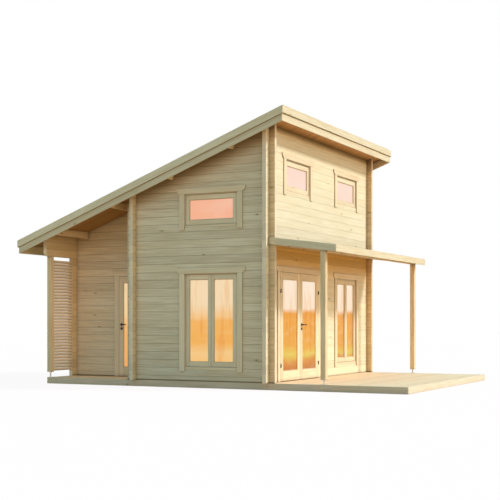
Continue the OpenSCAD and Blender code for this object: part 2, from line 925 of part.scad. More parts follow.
// Lever handles on both faces of a leaf, pointing to +x, with their key roses below
module handles() {
    for (side = [0, 1]) translate([0, leaf_face + leaf_t / 2, leaf_z + handle_z]) mirror([0, side, 0])
        translate([0, -leaf_t / 2, 0]) rotate([90, 0, 0]) {
            cylinder(h = rose_t, r = rose_r);
            cylinder(h = lever_out, r = lever_r);
            translate([0, 0, lever_out]) sphere(r = lever_r);
            translate([0, 0, lever_out]) rotate([0, 90, 0]) cylinder(h = lever_l, r = lever_r);
            translate([lever_l, 0, lever_out]) sphere(r = lever_r);
            translate([0, -key_drop, 0]) cylinder(h = rose_t, r = rose_r);
        }
}

left_leaf_x = [-door_w / 2, -meeting_gap / 2];
right_leaf_x = [meeting_gap / 2, door_w / 2];
porch_leaf_x = [-porch_door_w / 2, porch_door_w / 2];

module left_door_leaf() {
    color(board_colour) on_front(door_mid) leaf(left_leaf_x[0], left_leaf_x[1]);
}

module right_door_leaf() {
    color(board_colour) on_front(door_mid) leaf(right_leaf_x[0], right_leaf_x[1]);
}

module porch_door_leaf() {
    color(board_colour) on_left(porch_d, porch_door_mid) leaf(porch_leaf_x[0], porch_leaf_x[1]);
}

module left_door_pane() {
    color(glass_colour) on_front(door_mid) leaf_pane(left_leaf_x[0], left_leaf_x[1]);
}

module right_door_pane() {
    color(glass_colour) on_front(door_mid) leaf_pane(right_leaf_x[0], right_leaf_x[1]);
}

module porch_door_pane() {
    color(glass_colour) on_left(porch_d, porch_door_mid) leaf_pane(porch_leaf_x[0], porch_leaf_x[1]);
}

// Places a hinge's axis in the gap beside a leaf, mirrored where the leaf hangs from its right edge
module at_left_axis(w) {
    translate([-w / 2 - leaf_gap / 2, 0, 0]) children();
}

module at_right_axis(w) {
    mirror([1, 0, 0]) at_left_axis(w) children();
}

module left_door_hinges() {
    color(metal_colour) on_front(door_mid) at_left_axis(door_w) leaf_hinges();
}

module right_door_hardware() {
    color(metal_colour) on_front(door_mid) {
        at_right_axis(door_w) leaf_hinges();
        translate([right_leaf_x[0] + handle_set, 0, 0]) handles();
    }
}

module porch_door_hardware() {
    color(metal_colour) on_left(porch_d, porch_door_mid) {
        at_right_axis(porch_door_w) leaf_hinges();
        translate([porch_leaf_x[0] + handle_set, 0, 0]) handles();
    }
}

module frame_hinges() {
    color(metal_colour) {
        on_front(door_mid) {
            at_left_axis(door_w) casing_hinges();
            at_right_axis(door_w) casing_hinges();
        }
        on_left(porch_d, porch_door_mid) at_right_axis(porch_door_w) casing_hinges();
    }
}

centred() base_bearers();
centred() side_skirts();
centred() end_skirts();
centred() outdoor_decks();
centred() room_floor();
centred() left_gable_wall();
centred() right_gable_wall();
centred() front_wall_left();
centred() front_wall_right();
centred() front_wall_upper();
centred() porch_cross_wall();
centred() porch_wall_front();
centred() porch_wall_rear();
centred() porch_wall_upper();
centred() rear_wall_lower();
centred() rear_wall_upper();
centred() roof_purlins();
centred() roof_boards();
centred() roof_covering();
centred() lower_barge_boards();
centred() upper_barge_boards();
centred() lower_eaves_boards();
centred() upper_eaves_boards();
centred() posts();
centred() post_feet();
centred() canopy_beams();
centred() canopy_rafters();
centred() canopy_boards();
centred() canopy_covering();
centred() canopy_side_fascias();
centred() canopy_front_fascia();
centred() slat_screen();
centred() left_gable_windows();
centred() right_gable_windows();
centred() front_windows();
centred() left_gable_panes();
centred() right_gable_panes();
centred() front_panes();
centred() front_door_frame();
centred() porch_door_frame();
centred() left_door_leaf();
centred() right_door_leaf();
centred() porch_door_leaf();
centred() left_door_pane();
centred() right_door_pane();
centred() porch_door_pane();
centred() left_door_hinges();
centred() right_door_hardware();
centred() porch_door_hardware();
centred() frame_hinges();
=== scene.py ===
import math
import random

import bmesh
import bpy
from mathutils import Matrix, Vector


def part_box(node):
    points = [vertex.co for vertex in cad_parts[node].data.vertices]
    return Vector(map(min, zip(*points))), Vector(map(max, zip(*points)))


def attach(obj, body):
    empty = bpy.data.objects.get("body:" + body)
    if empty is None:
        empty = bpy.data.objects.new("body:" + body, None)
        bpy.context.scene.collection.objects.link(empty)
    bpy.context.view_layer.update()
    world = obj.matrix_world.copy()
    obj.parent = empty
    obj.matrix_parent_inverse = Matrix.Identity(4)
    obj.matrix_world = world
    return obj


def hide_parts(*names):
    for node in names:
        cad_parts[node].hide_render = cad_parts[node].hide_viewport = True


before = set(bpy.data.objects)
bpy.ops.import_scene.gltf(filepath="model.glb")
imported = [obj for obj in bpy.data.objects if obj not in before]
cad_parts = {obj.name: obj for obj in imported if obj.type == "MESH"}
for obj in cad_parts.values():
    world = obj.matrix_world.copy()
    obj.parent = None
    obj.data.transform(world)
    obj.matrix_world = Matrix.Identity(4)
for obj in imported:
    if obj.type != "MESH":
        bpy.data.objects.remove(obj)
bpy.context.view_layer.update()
scene = bpy.context.scene
scene.view_settings.view_transform = "Standard"


# Studio: a level camera at eye height off the left front corner, one sun from the front right and two
# warm cards that fill the porch. The sky looks white, and its light is warm from low in front and blue
# from above. The ground is a pale sheet that looks white and still takes the cabin's shadow.
class Wire:
    """A socket in a node tree. Sums and products add Math nodes, and add makes any other node."""

    def __init__(self, tree, socket=None):
        self.tree = tree
        self.socket = socket

    def add(self, kind, settings=None, sockets=None, out=0):
        made = self.tree.nodes.new(kind)
        for key, value in (settings or {}).items():
            if key == "stops":
                ramp = made.color_ramp
                while len(ramp.elements) < len(value):
                    ramp.elements.new(1.0)
                for element, (place, colour) in zip(ramp.elements, value):
                    element.position = place
                    element.color = colour
            else:
                setattr(made, key, value)
        for key, value in (sockets or {}).items():
            if isinstance(value, Wire):
                self.tree.links.new(value.socket, made.inputs[key])
            else:
                made.inputs[key].default_value = value
        return Wire(self.tree, made.outputs[out] if len(made.outputs) else None)

    def other(self, out):
        return Wire(self.tree, self.socket.node.outputs[out])

    def feed(self, node, name):
        self.tree.links.new(self.socket, node.inputs[name])

    def maths(self, operation, *values):
        return self.add("ShaderNodeMath", {"operation": operation}, dict(enumerate(values)))

    def __add__(self, value):
        return self.maths("ADD", self, value)

    def __sub__(self, value):
        return self.maths("SUBTRACT", self, value)

    def __rsub__(self, value):
        return self.maths("SUBTRACT", value, self)

    def __mul__(self, value):
        return self.maths("MULTIPLY", self, value)

    def __truediv__(self, value):
        return self.maths("DIVIDE", self, value)

    def between(self, low, high):
        """0 up to low, 1 from high on, with a soft step between them."""
        return self.add("ShaderNodeMapRange", {"interpolation_type": "SMOOTHSTEP"},
                        {"Value": self, "From Min": low, "From Max": high})


def tint(share, first, second, way="MIX"):
    """Colour between two colours, by a share that may be a wire."""
    wire = next(value for value in (share, first, second) if isinstance(value, Wire))
    return wire.add("ShaderNodeMix", {"data_type": "RGBA", "blend_type": way},
                    {0: share, 6: first, 7: second}, 2)


def seen_straight(wire):
    """1 for what the camera sees, straight or in glass and metal, and 0 for the light on the cabin."""
    path = wire.add("ShaderNodeLightPath", out="Is Camera Ray")
    mirrored = path.maths("MAXIMUM", path.other("Is Glossy Ray"), path.other("Is Transmission Ray"))
    return path.maths("MAXIMUM", path, mirrored)


view = bpy.data.cameras.new("photo_camera")
view.sensor_width = 36.0
view.lens = 78.108
view.shift_x = -0.0009
view.shift_y = 0.1451
view.clip_end = 300.0
camera = bpy.data.objects.new("photo_camera", view)
camera.location = (-18.7914, -9.2353, 1.138)
camera.rotation_euler = (math.pi / 2, 0.0, -math.atan2(0.8932, 0.4497))
scene.collection.objects.link(camera)
scene.camera = camera

lamp = bpy.data.lights.new("sun", "SUN")
lamp.energy = 2.2
lamp.angle = math.radians(8.0)
sun = bpy.data.objects.new("sun", lamp)
sun.rotation_euler = Vector((0.44, -1.0, 0.84)).to_track_quat("Z", "Y").to_euler()
scene.collection.objects.link(sun)

for name, spot, turn, wide, high in (
        ("porch_card", (-5.4, 2.7, 1.3), (math.pi / 2, 0.0, -math.pi / 2), 1.5, 2.1),
        ("screen_card", (-1.93, 1.52, 1.3), (math.pi / 2, 0.0, 0.0), 0.6, 2.0)):
    card = bpy.data.lights.new(name, "AREA")
    card.shape = "RECTANGLE"
    card.size = wide
    card.size_y = high
    card.spread = math.radians(60.0)
    card.color = (1.0, 0.66, 0.52)
    card.energy = 0.9
    stand = bpy.data.objects.new(name, card)
    stand.location = spot
    stand.rotation_euler = turn
    stand.visible_camera = False
    scene.collection.objects.link(stand)

sky = bpy.data.worlds.new("even_sky")
sky.use_nodes = True
sky_wire = Wire(sky.node_tree)
looking = sky_wire.add("ShaderNodeTexCoord", out="Generated")
sideways = sky_wire.add("ShaderNodeSeparateXYZ", None, {0: looking})
ahead = 0 - sideways.other(1)
low_sky = tint(ahead.between(0.4, 1.0), (0.59, 0.565, 0.55, 1.0), (2.35, 1.86, 1.33, 1.0))
sky_light = tint(sideways.other(2).between(0.0, 0.6), low_sky, (0.17, 0.54, 0.72, 1.0))
sky_colour = tint(seen_straight(sky_wire), sky_light, (1.0, 1.0, 1.0, 1.0))
sky_colour.feed(sky.node_tree.nodes["Background"], "Color")
scene.world = sky

ground_mesh = bpy.data.meshes.new("ground")
reach = 150.0
corners = [(-reach, -reach, 0), (reach, -reach, 0), (reach, reach, 0), (-reach, reach, 0)]
ground_mesh.from_pydata(corners, [], [(0, 1, 2, 3)])
ground = bpy.data.objects.new("ground", ground_mesh)
scene.collection.objects.link(ground)
pale_sheet = bpy.data.materials.new("pale_ground")
pale_sheet.use_nodes = True
pale_sheet.node_tree.nodes.clear()
ground_wire = Wire(pale_sheet.node_tree)
straight = seen_straight(ground_wire)
sheet_colour = tint(straight, (0.58, 0.35, 0.19, 1.0), (1.0, 0.87, 0.80, 1.0))
lit_sheet = ground_wire.add("ShaderNodeBsdfDiffuse", None, {"Color": sheet_colour})
white_sheet = ground_wire.add("ShaderNodeEmission", None, {"Color": (1.04, 1.01, 1.01, 1.0)})
sheet = ground_wire.add("ShaderNodeMixShader", None, {0: straight * 0.9, 1: lit_sheet, 2: white_sheet})
ground_wire.add("ShaderNodeOutputMaterial", None, {"Surface": sheet})
ground_mesh.materials.append(pale_sheet)


# Bearers and skirts: sawn spruce bearers lie on the ground from front to rear, and planed spruce
# skirt boards close the platform's four sides, nailed to the bearers.
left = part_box("side_skirts")[0].x
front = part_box("room_floor")[0].y
plan = Matrix.Translation((left, front, 0.0))
swap = Matrix(((0, 1, 0, 0), (1, 0, 0, 0), (0, 0, 1, 0), (0, 0, 0, 1)))
house_w, house_d, porch_d, main_d = 4.71, 4.61, 0.85, 2.71
wall_t, log_end, skirt_t = 0.07, 0.11, 0.022
bearer_h, base_h, terrace_y = 0.087, 0.115, -2.45
bearer_count, bearer_w = 9, 0.06
bearer_step = (house_w - 2 * skirt_t - bearer_w) / (bearer_count - 1)


def oblong(low, high):
    return [(low[0], low[1]), (high[0], low[1]), (high[0], high[1]), (low[0], high[1])]


class Planks:
    """The planks of one piece. Each has softened edges, a tone of its own, and its grain laid out
    in metres, along the plank and then across it."""

    def __init__(self, name, seed):
        self.name = name
        self.dice = random.Random(seed)
        self.points, self.faces, self.grain, self.tones, self.ends = [], [], [], [], []

    def add(self, outline, near, far, place=plan, along="u", rise=0.0, edge=0.003):
        """A plank with an outline of (u, w) points from near to far, its grain along u, t or w."""
        bm = bmesh.new()
        rings = [[bm.verts.new((u, t, w)) for u, w in outline] for t in (near, far)]
        bm.faces.new(rings[0])
        bm.faces.new(rings[1][::-1])
        for i in range(len(outline)):
            bm.faces.new((rings[0][i - 1], rings[0][i], rings[1][i], rings[1][i - 1]))
        bmesh.ops.recalc_face_normals(bm, faces=bm.faces[:])
        bmesh.ops.bevel(bm, geom=bm.edges[:], offset=edge, segments=1, affect="EDGES", clamp_overlap=True)
        bm.normal_update()
        bm.verts.index_update()
        run = {"u": Vector((1, 0, rise)).normalized(), "t": Vector((0, 1, 0)),
               "w": Vector((0, 0, 1))}[along]
        wide = Vector((0, 0, 1)) if along == "t" else Vector((0, 1, 0))
        us, ws = zip(*outline)
        middle = Vector(((min(us) + max(us)) / 2, (near + far) / 2, (min(ws) + max(ws)) / 2))
        tone = self.dice.random()
        flipped = place.determinant() < 0
        first = len(self.points)
        self.points += [tuple(place @ vert.co) for vert in bm.verts]
        for face in bm.faces:
            end = abs(face.normal.dot(run)) > 0.75
            axis = wide if end else run
            across = face.normal.cross(axis).normalized()
            loops = list(face.loops)[::-1] if flipped else list(face.loops)
            self.faces.append([first + loop.vert.index for loop in loops])
            for loop in loops:
                offset = loop.vert.co - middle
                self.grain.append((offset.dot(axis), offset.dot(across)))
            self.tones.append(tone)
            self.ends.append(1.0 if end else 0.0)
        bm.free()

    def box(self, low, high, along, edge=0.003):
        """A straight plank between two corners of the plan, with its grain along x, y or z."""
        if along == "y":
            self.add(oblong(low[1:], high[1:]), low[0], high[0], plan @ swap, edge=edge)
        else:
            grain = "w" if along == "z" else "u"
            self.add(oblong(low[::2], high[::2]), low[1], high[1], plan, grain, edge=edge)

    def make(self, finish, toned=True):
        mesh = bpy.data.meshes.new(self.name)
        mesh.from_pydata(self.points, [], self.faces)
        mesh.uv_layers.new(name="grain").data.foreach_set("uv", [n for pair in self.grain for n in pair])
        mesh.attributes.new("end", "FLOAT", "FACE").data.foreach_set("value", self.ends)
        if toned:
            mesh.attributes.new("tone", "FLOAT", "FACE").data.foreach_set("value", self.tones)
        mesh.materials.append(finish)
        piece = bpy.data.objects.new(self.name, mesh)
        scene.collection.objects.link(piece)
        return piece


def new_finish(name):
    """A material, its shader, and a wire to add nodes from."""
    finish = bpy.data.materials.new(name)
    finish.use_nodes = True
    return finish, finish.node_tree.nodes["Principled BSDF"], Wire(finish.node_tree)


def spruce(name, read, pale, dark, knots=0.18, rough=0.66, seam_and_shade_share=0.3, crevice_shade=0.85,
           warm_shade_tint=(0.99, 0.71, 0.30, 1.0)):
    """Spruce. read gives wires along and across the grain, a plank's tone, its end, a mask of dark
    joints and painted shade, and a mask of painted warm shade. An ambient occlusion node paints shade
    into its crevices."""
    finish, shader, wire = new_finish(name)
    along, across, tone, end, seam_and_shade, warm_shade = read(wire)
    here = wire.add("ShaderNodeCombineXYZ", None, {0: along, 1: across, 2: tone * 40})

    def figure(scale, detail):
        spot = wire.add("ShaderNodeVectorMath", {"operation": "MULTIPLY"}, {0: here, 1: scale})
        return wire.add("ShaderNodeTexNoise", None, {"Vector": spot, "Scale": 1.0, "Detail": detail})

    drift = figure((0.9, 6.0, 1.0), 2.0)
    streak = figure((2.0, 66.0, 1.0), 3.0)
    fibre = figure((7.0, 520.0, 1.0), 2.0)
    rings = (across + (drift - 0.5) * 0.06) * 520.0
    share = (streak * 0.6 + drift * 0.25 + fibre * 0.2).between(0.40, 0.64)
    wood = tint(share, pale, dark)
    wood = tint(rings.maths("SINE", rings).between(0.2, 1.0) * 0.16, wood, dark)
    cell = wire.add("ShaderNodeCombineXYZ", None,
                    {0: along * 2.4 + tone * 91, 1: across * 6.5 + tone * 7})
    knot = wire.add("ShaderNodeTexVoronoi", {"voronoi_dimensions": "2D"},
                    {"Vector": cell, "Scale": 1.0, "Randomness": 0.9})
    lot = wire.add("ShaderNodeSeparateColor", None, {0: knot.other("Color")})
    chosen = lot.maths("GREATER_THAN", lot, 1.0 - knots) * (1 - end)
    core = (1 - knot.between(0.02, 0.06)) * chosen
    ring = (1 - knot.between(0.04, 0.2)) * chosen
    wood = tint(ring * 0.3, wood, (0.42, 0.24, 0.09, 1.0))
    wood = tint(core * 0.8, wood, (0.13, 0.06, 0.025, 1.0))
    heart = (along + 0.016) * (along + 0.016) + (across + 0.02) * (across + 0.02)
    radius = heart.maths("SQRT", heart)
    growth = radius.maths("SINE", radius * 1400.0)
    cut = tint(growth.between(-0.4, 1.0) * 0.4, (1.0, 0.80, 0.57, 1.0), (0.74, 0.52, 0.32, 1.0))
    wood = tint(end, wood, cut)
    wood = tint(1.0, wood, tone * 0.14 + 0.93, "MULTIPLY")
    # Painted warm shade: where the mask is on, the wood is multiplied by the warm shade tint.
    if isinstance(warm_shade, Wire):
        wood = tint(warm_shade, wood, tint(1.0, wood, warm_shade_tint, "MULTIPLY"))
    # Dark joints, with the painted shade that read adds to them.
    if isinstance(seam_and_shade, Wire):
        wood = tint(seam_and_shade * seam_and_shade_share, wood, (0.30, 0.19, 0.09, 1.0))
    # Painted shade: an ambient occlusion node darkens the wood in crevices and corners.
    open_round = wire.add("ShaderNodeAmbientOcclusion", {"samples": 6}, {"Distance": 0.08}, "AO")
    wood = tint((1 - open_round.between(0.3, 1.0)) * crevice_shade, wood, (0.12, 0.07, 0.035, 1.0))
    height = streak * 0.5 + fibre * 0.5 - core * 0.6
    bump = wire.add("ShaderNodeBump", None, {"Strength": 0.35, "Distance": 0.0012, "Height": height})
    wood.feed(shader, "Base Color")
    (share * 0.12 + (rough - 0.06)).feed(shader, "Roughness")
    bump.feed(shader, "Normal")
    shader.inputs["Specular IOR Level"].default_value = 0.25
    return finish


def on_plank(wire):
    """The grain of a plank that carries its own layout."""
    laid = wire.add("ShaderNodeUVMap", {"uv_map": "grain"})
    along = wire.add("ShaderNodeSeparateXYZ", None, {0: laid})
    tone = wire.add("ShaderNodeAttribute", {"attribute_name": "tone"}, None, "Fac")
    end = wire.add("ShaderNodeAttribute", {"attribute_name": "end"}, None, "Fac")
    return along, along.other(1), tone, end, None, None


def settle(piece, body, slot, *nodes):
    """Carries a piece on a body and lets it stand for its CAD nodes; its slot is not used."""
    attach(piece, body)
    if nodes:
        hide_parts(*nodes)


sawn_spruce = spruce("sawn_spruce", on_plank, (0.84, 0.69, 0.45, 1.0), (0.64, 0.48, 0.27, 1.0), 0.15, 0.8)
planed_spruce = spruce("planed_spruce", on_plank, (0.94, 0.785, 0.55, 1.0), (0.81, 0.63, 0.395, 1.0),
                       0.06, crevice_shade=0.9)
bearers = Planks("bearers", 3)
for i in range(bearer_count):
    x = skirt_t + i * bearer_step
    bearers.box((x, terrace_y + skirt_t, 0), (x + bearer_w, house_d - skirt_t, bearer_h), "y")
settle(bearers.make(sawn_spruce), "cabin", "deck_boards", "base_bearers")
# Painted light: the side skirts get a darker finish than the end skirts below, as a shaded side beside a
# sunlit front.
skirt_spruce = spruce("skirt_spruce", on_plank, (0.84, 0.665, 0.49, 1.0), (0.74, 0.55, 0.355, 1.0),
                      0.05, crevice_shade=0.2)
side_skirts = Planks("side_skirt_boards", 5)
for x in (0, house_w - skirt_t):
    side_skirts.box((x, terrace_y + skirt_t, 0), (x + skirt_t, house_d - skirt_t, base_h), "y")
settle(side_skirts.make(skirt_spruce), "cabin", "planed_boards", "side_skirts")
end_skirts = Planks("end_skirt_boards", 7)
for y in (terrace_y, house_d - skirt_t):
    end_skirts.box((0, y, 0), (house_w, y + skirt_t, base_h), "x")
end_spruce = spruce("end_skirt_spruce", on_plank, (1.0, 0.86, 0.66, 1.0), (0.91, 0.73, 0.50, 1.0),
                    0.05, crevice_shade=0.2)
settle(end_skirts.make(end_spruce), "cabin", "planed_boards", "end_skirts")


# Terrace, porch deck and room floor: planed spruce boards laid across the bearers. The deck boards
# have open gaps and a pair of screws on each bearer, the floor boards are pushed together.
def open_tree(name, result, **inputs):
    """A new geometry tree's inputs, named with their kinds, as one wire."""
    tree = bpy.data.node_groups.new(name, "GeometryNodeTree")
    for label, kind in inputs.items():
        tree.interface.new_socket(label, in_out="INPUT", socket_type="NodeSocket" + kind)
    tree.interface.new_socket(result, in_out="OUTPUT", socket_type="NodeSocketGeometry")
    return Wire(tree).add("NodeGroupInput")


def close_tree(sizes, shape):
    """Ends a geometry tree: copies become one mesh, in the finish that the inputs name."""
    shape = sizes.add("GeometryNodeRealizeInstances", None, {"Geometry": shape})
    shape = sizes.add("GeometryNodeSetMaterial", None,
                      {"Geometry": shape, "Material": sizes.other("Finish")})
    sizes.add("NodeGroupOutput", None, {0: shape})
    return sizes.tree


def board_row():
    """Geometry that lays copies of one board in a row, each with a tone of its own."""
    sizes = open_tree("board_row", "Boards", Board="Object", Count="Int", Step="Vector", Seed="Int",
                      Finish="Material")
    line = sizes.add("GeometryNodeMeshLine", {"mode": "OFFSET"},
                     {"Count": sizes.other("Count"), "Offset": sizes.other("Step")})
    board = sizes.add("GeometryNodeObjectInfo", None, {"Object": sizes.other("Board")}, "Geometry")
    row = sizes.add("GeometryNodeInstanceOnPoints", None, {"Points": line, "Instance": board})
    tone = sizes.add("FunctionNodeRandomValue", {"data_type": "FLOAT"}, {"Seed": sizes.other("Seed")}, 1)
    row = sizes.add("GeometryNodeStoreNamedAttribute", {"data_type": "FLOAT", "domain": "INSTANCE"},
                    {"Geometry": row, "Name": "tone", "Value": tone})
    return close_tree(sizes, row)


def grow(name, tree, **sizes):
    """A plain mesh piece from a geometry tree and its named sizes."""
    piece = bpy.data.objects.new(name, bpy.data.meshes.new(name))
    scene.collection.objects.link(piece)
    rule = piece.modifiers.new("rule", "NODES")
    rule.node_group = tree
    for socket in tree.interface.items_tree:
        if socket.in_out == "INPUT":
            rule[socket.identifier] = sizes[socket.name]
    bpy.context.view_layer.update()
    grown = bpy.data.meshes.new_from_object(piece.evaluated_get(bpy.context.evaluated_depsgraph_get()))
    piece.modifiers.clear()
    piece.data = grown
    grown.name = name
    return piece


rows = board_row()


def row_of(name, seed, finish, count, step, outline, near, far, **cut):
    """Boards in a row, all cut to one outline as Planks.add takes it."""
    pattern = Planks(name + "_pattern", seed)
    pattern.add(outline, near, far, **cut)
    board = pattern.make(finish, toned=False)
    piece = grow(name, rows, Board=board, Count=count, Step=step, Seed=seed, Finish=finish)
    bpy.data.objects.remove(board)
    return piece


def flat_boards(name, seed, x0, x1, y0, y1, count, gap):
    """Boards along x that fill a rectangle of the platform."""
    pitch = (y1 - y0) / count
    return row_of(name, seed, deck_spruce, count, (0, pitch, 0), oblong((x0, bearer_h), (x1, base_h)),
                  y0 + gap / 2, y0 + pitch - gap / 2)


deck_spruce = spruce("deck_spruce", on_plank, (1.0, 0.74, 0.475, 1.0), (0.99, 0.69, 0.415, 1.0), 0.07,
                     0.7)
terrace_count, rear_count, room_count, deck_gap, floor_gap = 20, 15, 22, 0.005, 0.001
deck_x0, deck_x1, deck_y0, deck_y1 = skirt_t, house_w - skirt_t, terrace_y + skirt_t, house_d - skirt_t
terrace = flat_boards("terrace_boards", 11, deck_x0, deck_x1, deck_y0, 0.0, terrace_count, deck_gap)
settle(terrace, "cabin", "deck_boards", "outdoor_decks")
porch_deck = flat_boards("porch_deck_boards", 13, deck_x0, porch_d, main_d, deck_y1, rear_count, deck_gap)
settle(porch_deck, "cabin", "deck_boards")
floor_front = flat_boards("front_floor_boards", 17, deck_x0, deck_x1, 0.0, main_d, room_count, floor_gap)
settle(floor_front, "cabin", "deck_boards", "room_floor")
floor_rear = flat_boards("rear_floor_boards", 19, porch_d, deck_x1, main_d, deck_y1, rear_count, floor_gap)
settle(floor_rear, "cabin", "deck_boards")


# Log walls: planed spruce logs 70 mm thick, stacked in courses of 140 mm with a V joint between
# them. At each corner they are notched into each other and their ends run past it.
roof_pitch, rear_soffit_h, course_h = 20.55, 2.748, 0.14
slope = math.tan(math.radians(roof_pitch))
ridge_h = rear_soffit_h + slope * house_d


def on_logs(axis, first_joint, wall):
    """The grain of stacked logs along x (0) or y (1), whose joints start at a height. Painted warm shade
    tints the wood under the roof and the canopy, in the porch, and on the sides of the gable logs' ends in
    front of the front wall; painted shade darkens it under the eaves, in the porch and at the wall's foot."""

    def read(wire):
        spot = wire.add("ShaderNodeTexCoord", out="Object")
        x = wire.add("ShaderNodeSeparateXYZ", None, {0: spot})
        along, depth, z = (x, x.other(1), x.other(2)) if axis == 0 else (x.other(1), x, x.other(2))
        stack = (z - first_joint) / course_h
        course = stack.maths("FLOOR", stack)
        across = (stack - course - 0.5) * course_h
        tone = wire.add("ShaderNodeTexWhiteNoise", {"noise_dimensions": "1D"}, {"W": course + wall})
        normal = wire.add("ShaderNodeNewGeometry", out="Normal")
        facing = wire.add("ShaderNodeSeparateXYZ", None, {0: normal})
        square = facing.other(axis)
        end = square.maths("ABSOLUTE", square).between(0.7, 0.8)
        joint_and_shade = across.maths("ABSOLUTE", across).between(0.0655, 0.069) * (1 - end)
        # Painted shade: a dark line at the foot of the lowest log.
        foot = (1 - z.between(base_h + 0.016, base_h + 0.026)) * (1 - end) * (2 if axis else 7)
        centred = (depth.maths("FRACT", depth / wall_t + 0.4) - 0.5) * wall_t
        if axis == 0:
            behind = (depth - front).between(0.1, 0.2)
            on_front = (1 - behind) * (1 - end)
            x_in = along - left
            indoors = x_in.between(0.0, 0.01) * (1 - x_in.between(house_w - 0.01, house_w))
            # Painted warm shade under the canopy, under the eaves and on the porch's front-facing faces.
            under_canopy = z.between(1.9, 2.35) * (1 - z.between(2.54, 2.57))
            under_roof = z.between(ridge_h - 0.15, ridge_h - 0.02) * 0.6
            facing_front = (0 - facing.other(1)).between(0.5, 0.7)
            in_porch = behind * facing_front * (1 - x_in.between(porch_d, porch_d + 0.05))
            warm_shade = (under_canopy + under_roof) * on_front * indoors + in_porch * 0.4
            # Painted shade: a dark band under the front wall's eaves. It and painted shade in the porch are
            # added to the dark joints, which are drawn five times darker on the walls behind the front.
            shade = z.between(ridge_h - 0.12, ridge_h - 0.01) * on_front
            joint_and_shade = joint_and_shade * (5 - on_front * 4) + in_porch * 3 + shade * 10
        else:
            # Painted warm shade on the sides of the log ends in front of the front wall and under the roof.
            stub = (front - along).between(-0.004, 0.004)
            from_eaves = z + (along - front) * slope
            under_roof = from_eaves.between(ridge_h - 0.35, ridge_h) * 0.5
            warm_shade = stub.maths("MAXIMUM", stub, under_roof) * (1 - end)
            x_in = depth - left
            indoors = x_in.between(0.1, 0.2) * (1 - x_in.between(house_w - 0.2, house_w - 0.1))
            # Painted shade: a dark band under the roof, weaker on the porch wall, added to the dark joints.
            shade = from_eaves.between(ridge_h - 0.4, ridge_h - 0.05) * (1.7 - indoors * 1.2)
            joint_and_shade = joint_and_shade * (1 - stub * 0.6) + shade * (1 - end)
        seam_and_shade = joint_and_shade.maths("MAXIMUM", joint_and_shade, foot)
        return along * (1 - end) + centred * end, across, tone, end, seam_and_shade, warm_shade

    return read


def dress(finish, *nodes):
    """Gives a finish to CAD nodes that keep their shape."""
    for node in nodes:
        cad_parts[node].data.materials.clear()
        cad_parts[node].data.materials.append(finish)


joint_y = base_h + 0.09
joint_x = joint_y + course_h / 2
# Painted light: the logs along y get darker colours, more painted shade in their crevices and darker joints
# than the logs along x, to stand for the shaded gable beside the sunlit front.
logs_along_x = spruce("logs_along_x", on_logs(0, joint_x, 3.5), (0.985, 0.845, 0.60, 1.0),
                      (0.90, 0.73, 0.47, 1.0), 0.04, seam_and_shade_share=0.07, crevice_shade=0.3)
logs_along_y = spruce("logs_along_y", on_logs(1, joint_y, 57.5), (0.92, 0.77, 0.555, 1.0),
                      (0.765, 0.59, 0.378, 1.0), 0.025, seam_and_shade_share=0.5, crevice_shade=0.4, warm_shade_tint=(1.0, 0.88, 0.74, 1.0))
dress(logs_along_x, "front_wall_left", "front_wall_right", "front_wall_upper", "porch_cross_wall",
      "rear_wall_lower", "rear_wall_upper")
dress(logs_along_y, "left_gable_wall", "right_gable_wall", "porch_wall_front", "porch_wall_rear",
      "porch_wall_upper")


# Roof: spruce purlins let into the gables carry tongued boards that run down the slope. Their
# undersides are planed and show in the overhangs.
side_out, front_out, rear_out, barge_t, roof_board_t = 0.29, 0.38, 0.43, 0.022, 0.028
purlin_count, purlin_w, purlin_h, purlin_y, purlin_step = 4, 0.05, 0.12, 0.655, 1.2
slit, lift = 0.0005, 0.0001


def soffit(y):
    return ridge_h - slope * y


def strip(line, y0, y1, low, high):
    """Outline of a board that follows a sloping line, from low to high over it."""
    return [(y0, line(y0) + low), (y1, line(y1) + low), (y1, line(y1) + high), (y0, line(y0) + high)]


planed_timber = spruce("planed_timber", on_plank, (0.97, 0.74, 0.46, 1.0), (0.83, 0.58, 0.32, 1.0), 0.08)
purlins = Planks("purlin_timbers", 23)
boards_x0, boards_x1 = barge_t - side_out, house_w + side_out - barge_t
for i in range(purlin_count):
    y0 = purlin_y + purlin_step * i
    y1 = y0 + purlin_w
    low = soffit((y0 + y1) / 2) - purlin_h
    purlins.add([(y0, low), (y1, low), (y1, soffit(y1)), (y0, soffit(y0))], boards_x0, boards_x1,
                plan @ swap, "t")
settle(purlins.make(planed_timber), "cabin", "planed_timbers", "roof_purlins")


def on_soffit(wire):
    """The grain of a soffit board, with painted warm shade on all of it but the front overhang's outer
    part.
    """
    laid = on_plank(wire)[:4]
    spot = wire.add("ShaderNodeTexCoord", out="Object")
    y = wire.add("ShaderNodeSeparateXYZ", None, {0: spot}, 1)
    # Painted shade on all soffits but the front overhang's outer part, where it fades out over 0.15 m from
    # the wall.
    unshaded_outer_part = (front - y).between(0.0, 0.15) * y.other(2).between(3.0, 3.2)
    return *laid, None, 1 - unshaded_outer_part


# Its deep orange is painted warm shade, for the undersides of the roof, the canopy and the canopy's wall
# board.
soffit_spruce = spruce("soffit_spruce", on_soffit, (1.0, 0.51, 0.195, 1.0), (0.79, 0.375, 0.127, 1.0),
                       0.05, warm_shade_tint=(0.505, 0.49, 0.37, 1.0))
roof_count = 52
roof_step = (boards_x1 - boards_x0) / roof_count
roof_boards = row_of("roof_board_row", 29, soffit_spruce, roof_count, (roof_step, 0, 0),
                     strip(soffit, barge_t - front_out, house_d + rear_out - barge_t, lift, roof_board_t),
                     boards_x0 + slit, boards_x0 + roof_step - slit, place=plan @ swap, rise=-slope,
                     edge=0.007)
settle(roof_boards, "cabin", "planed_boards", "roof_boards")


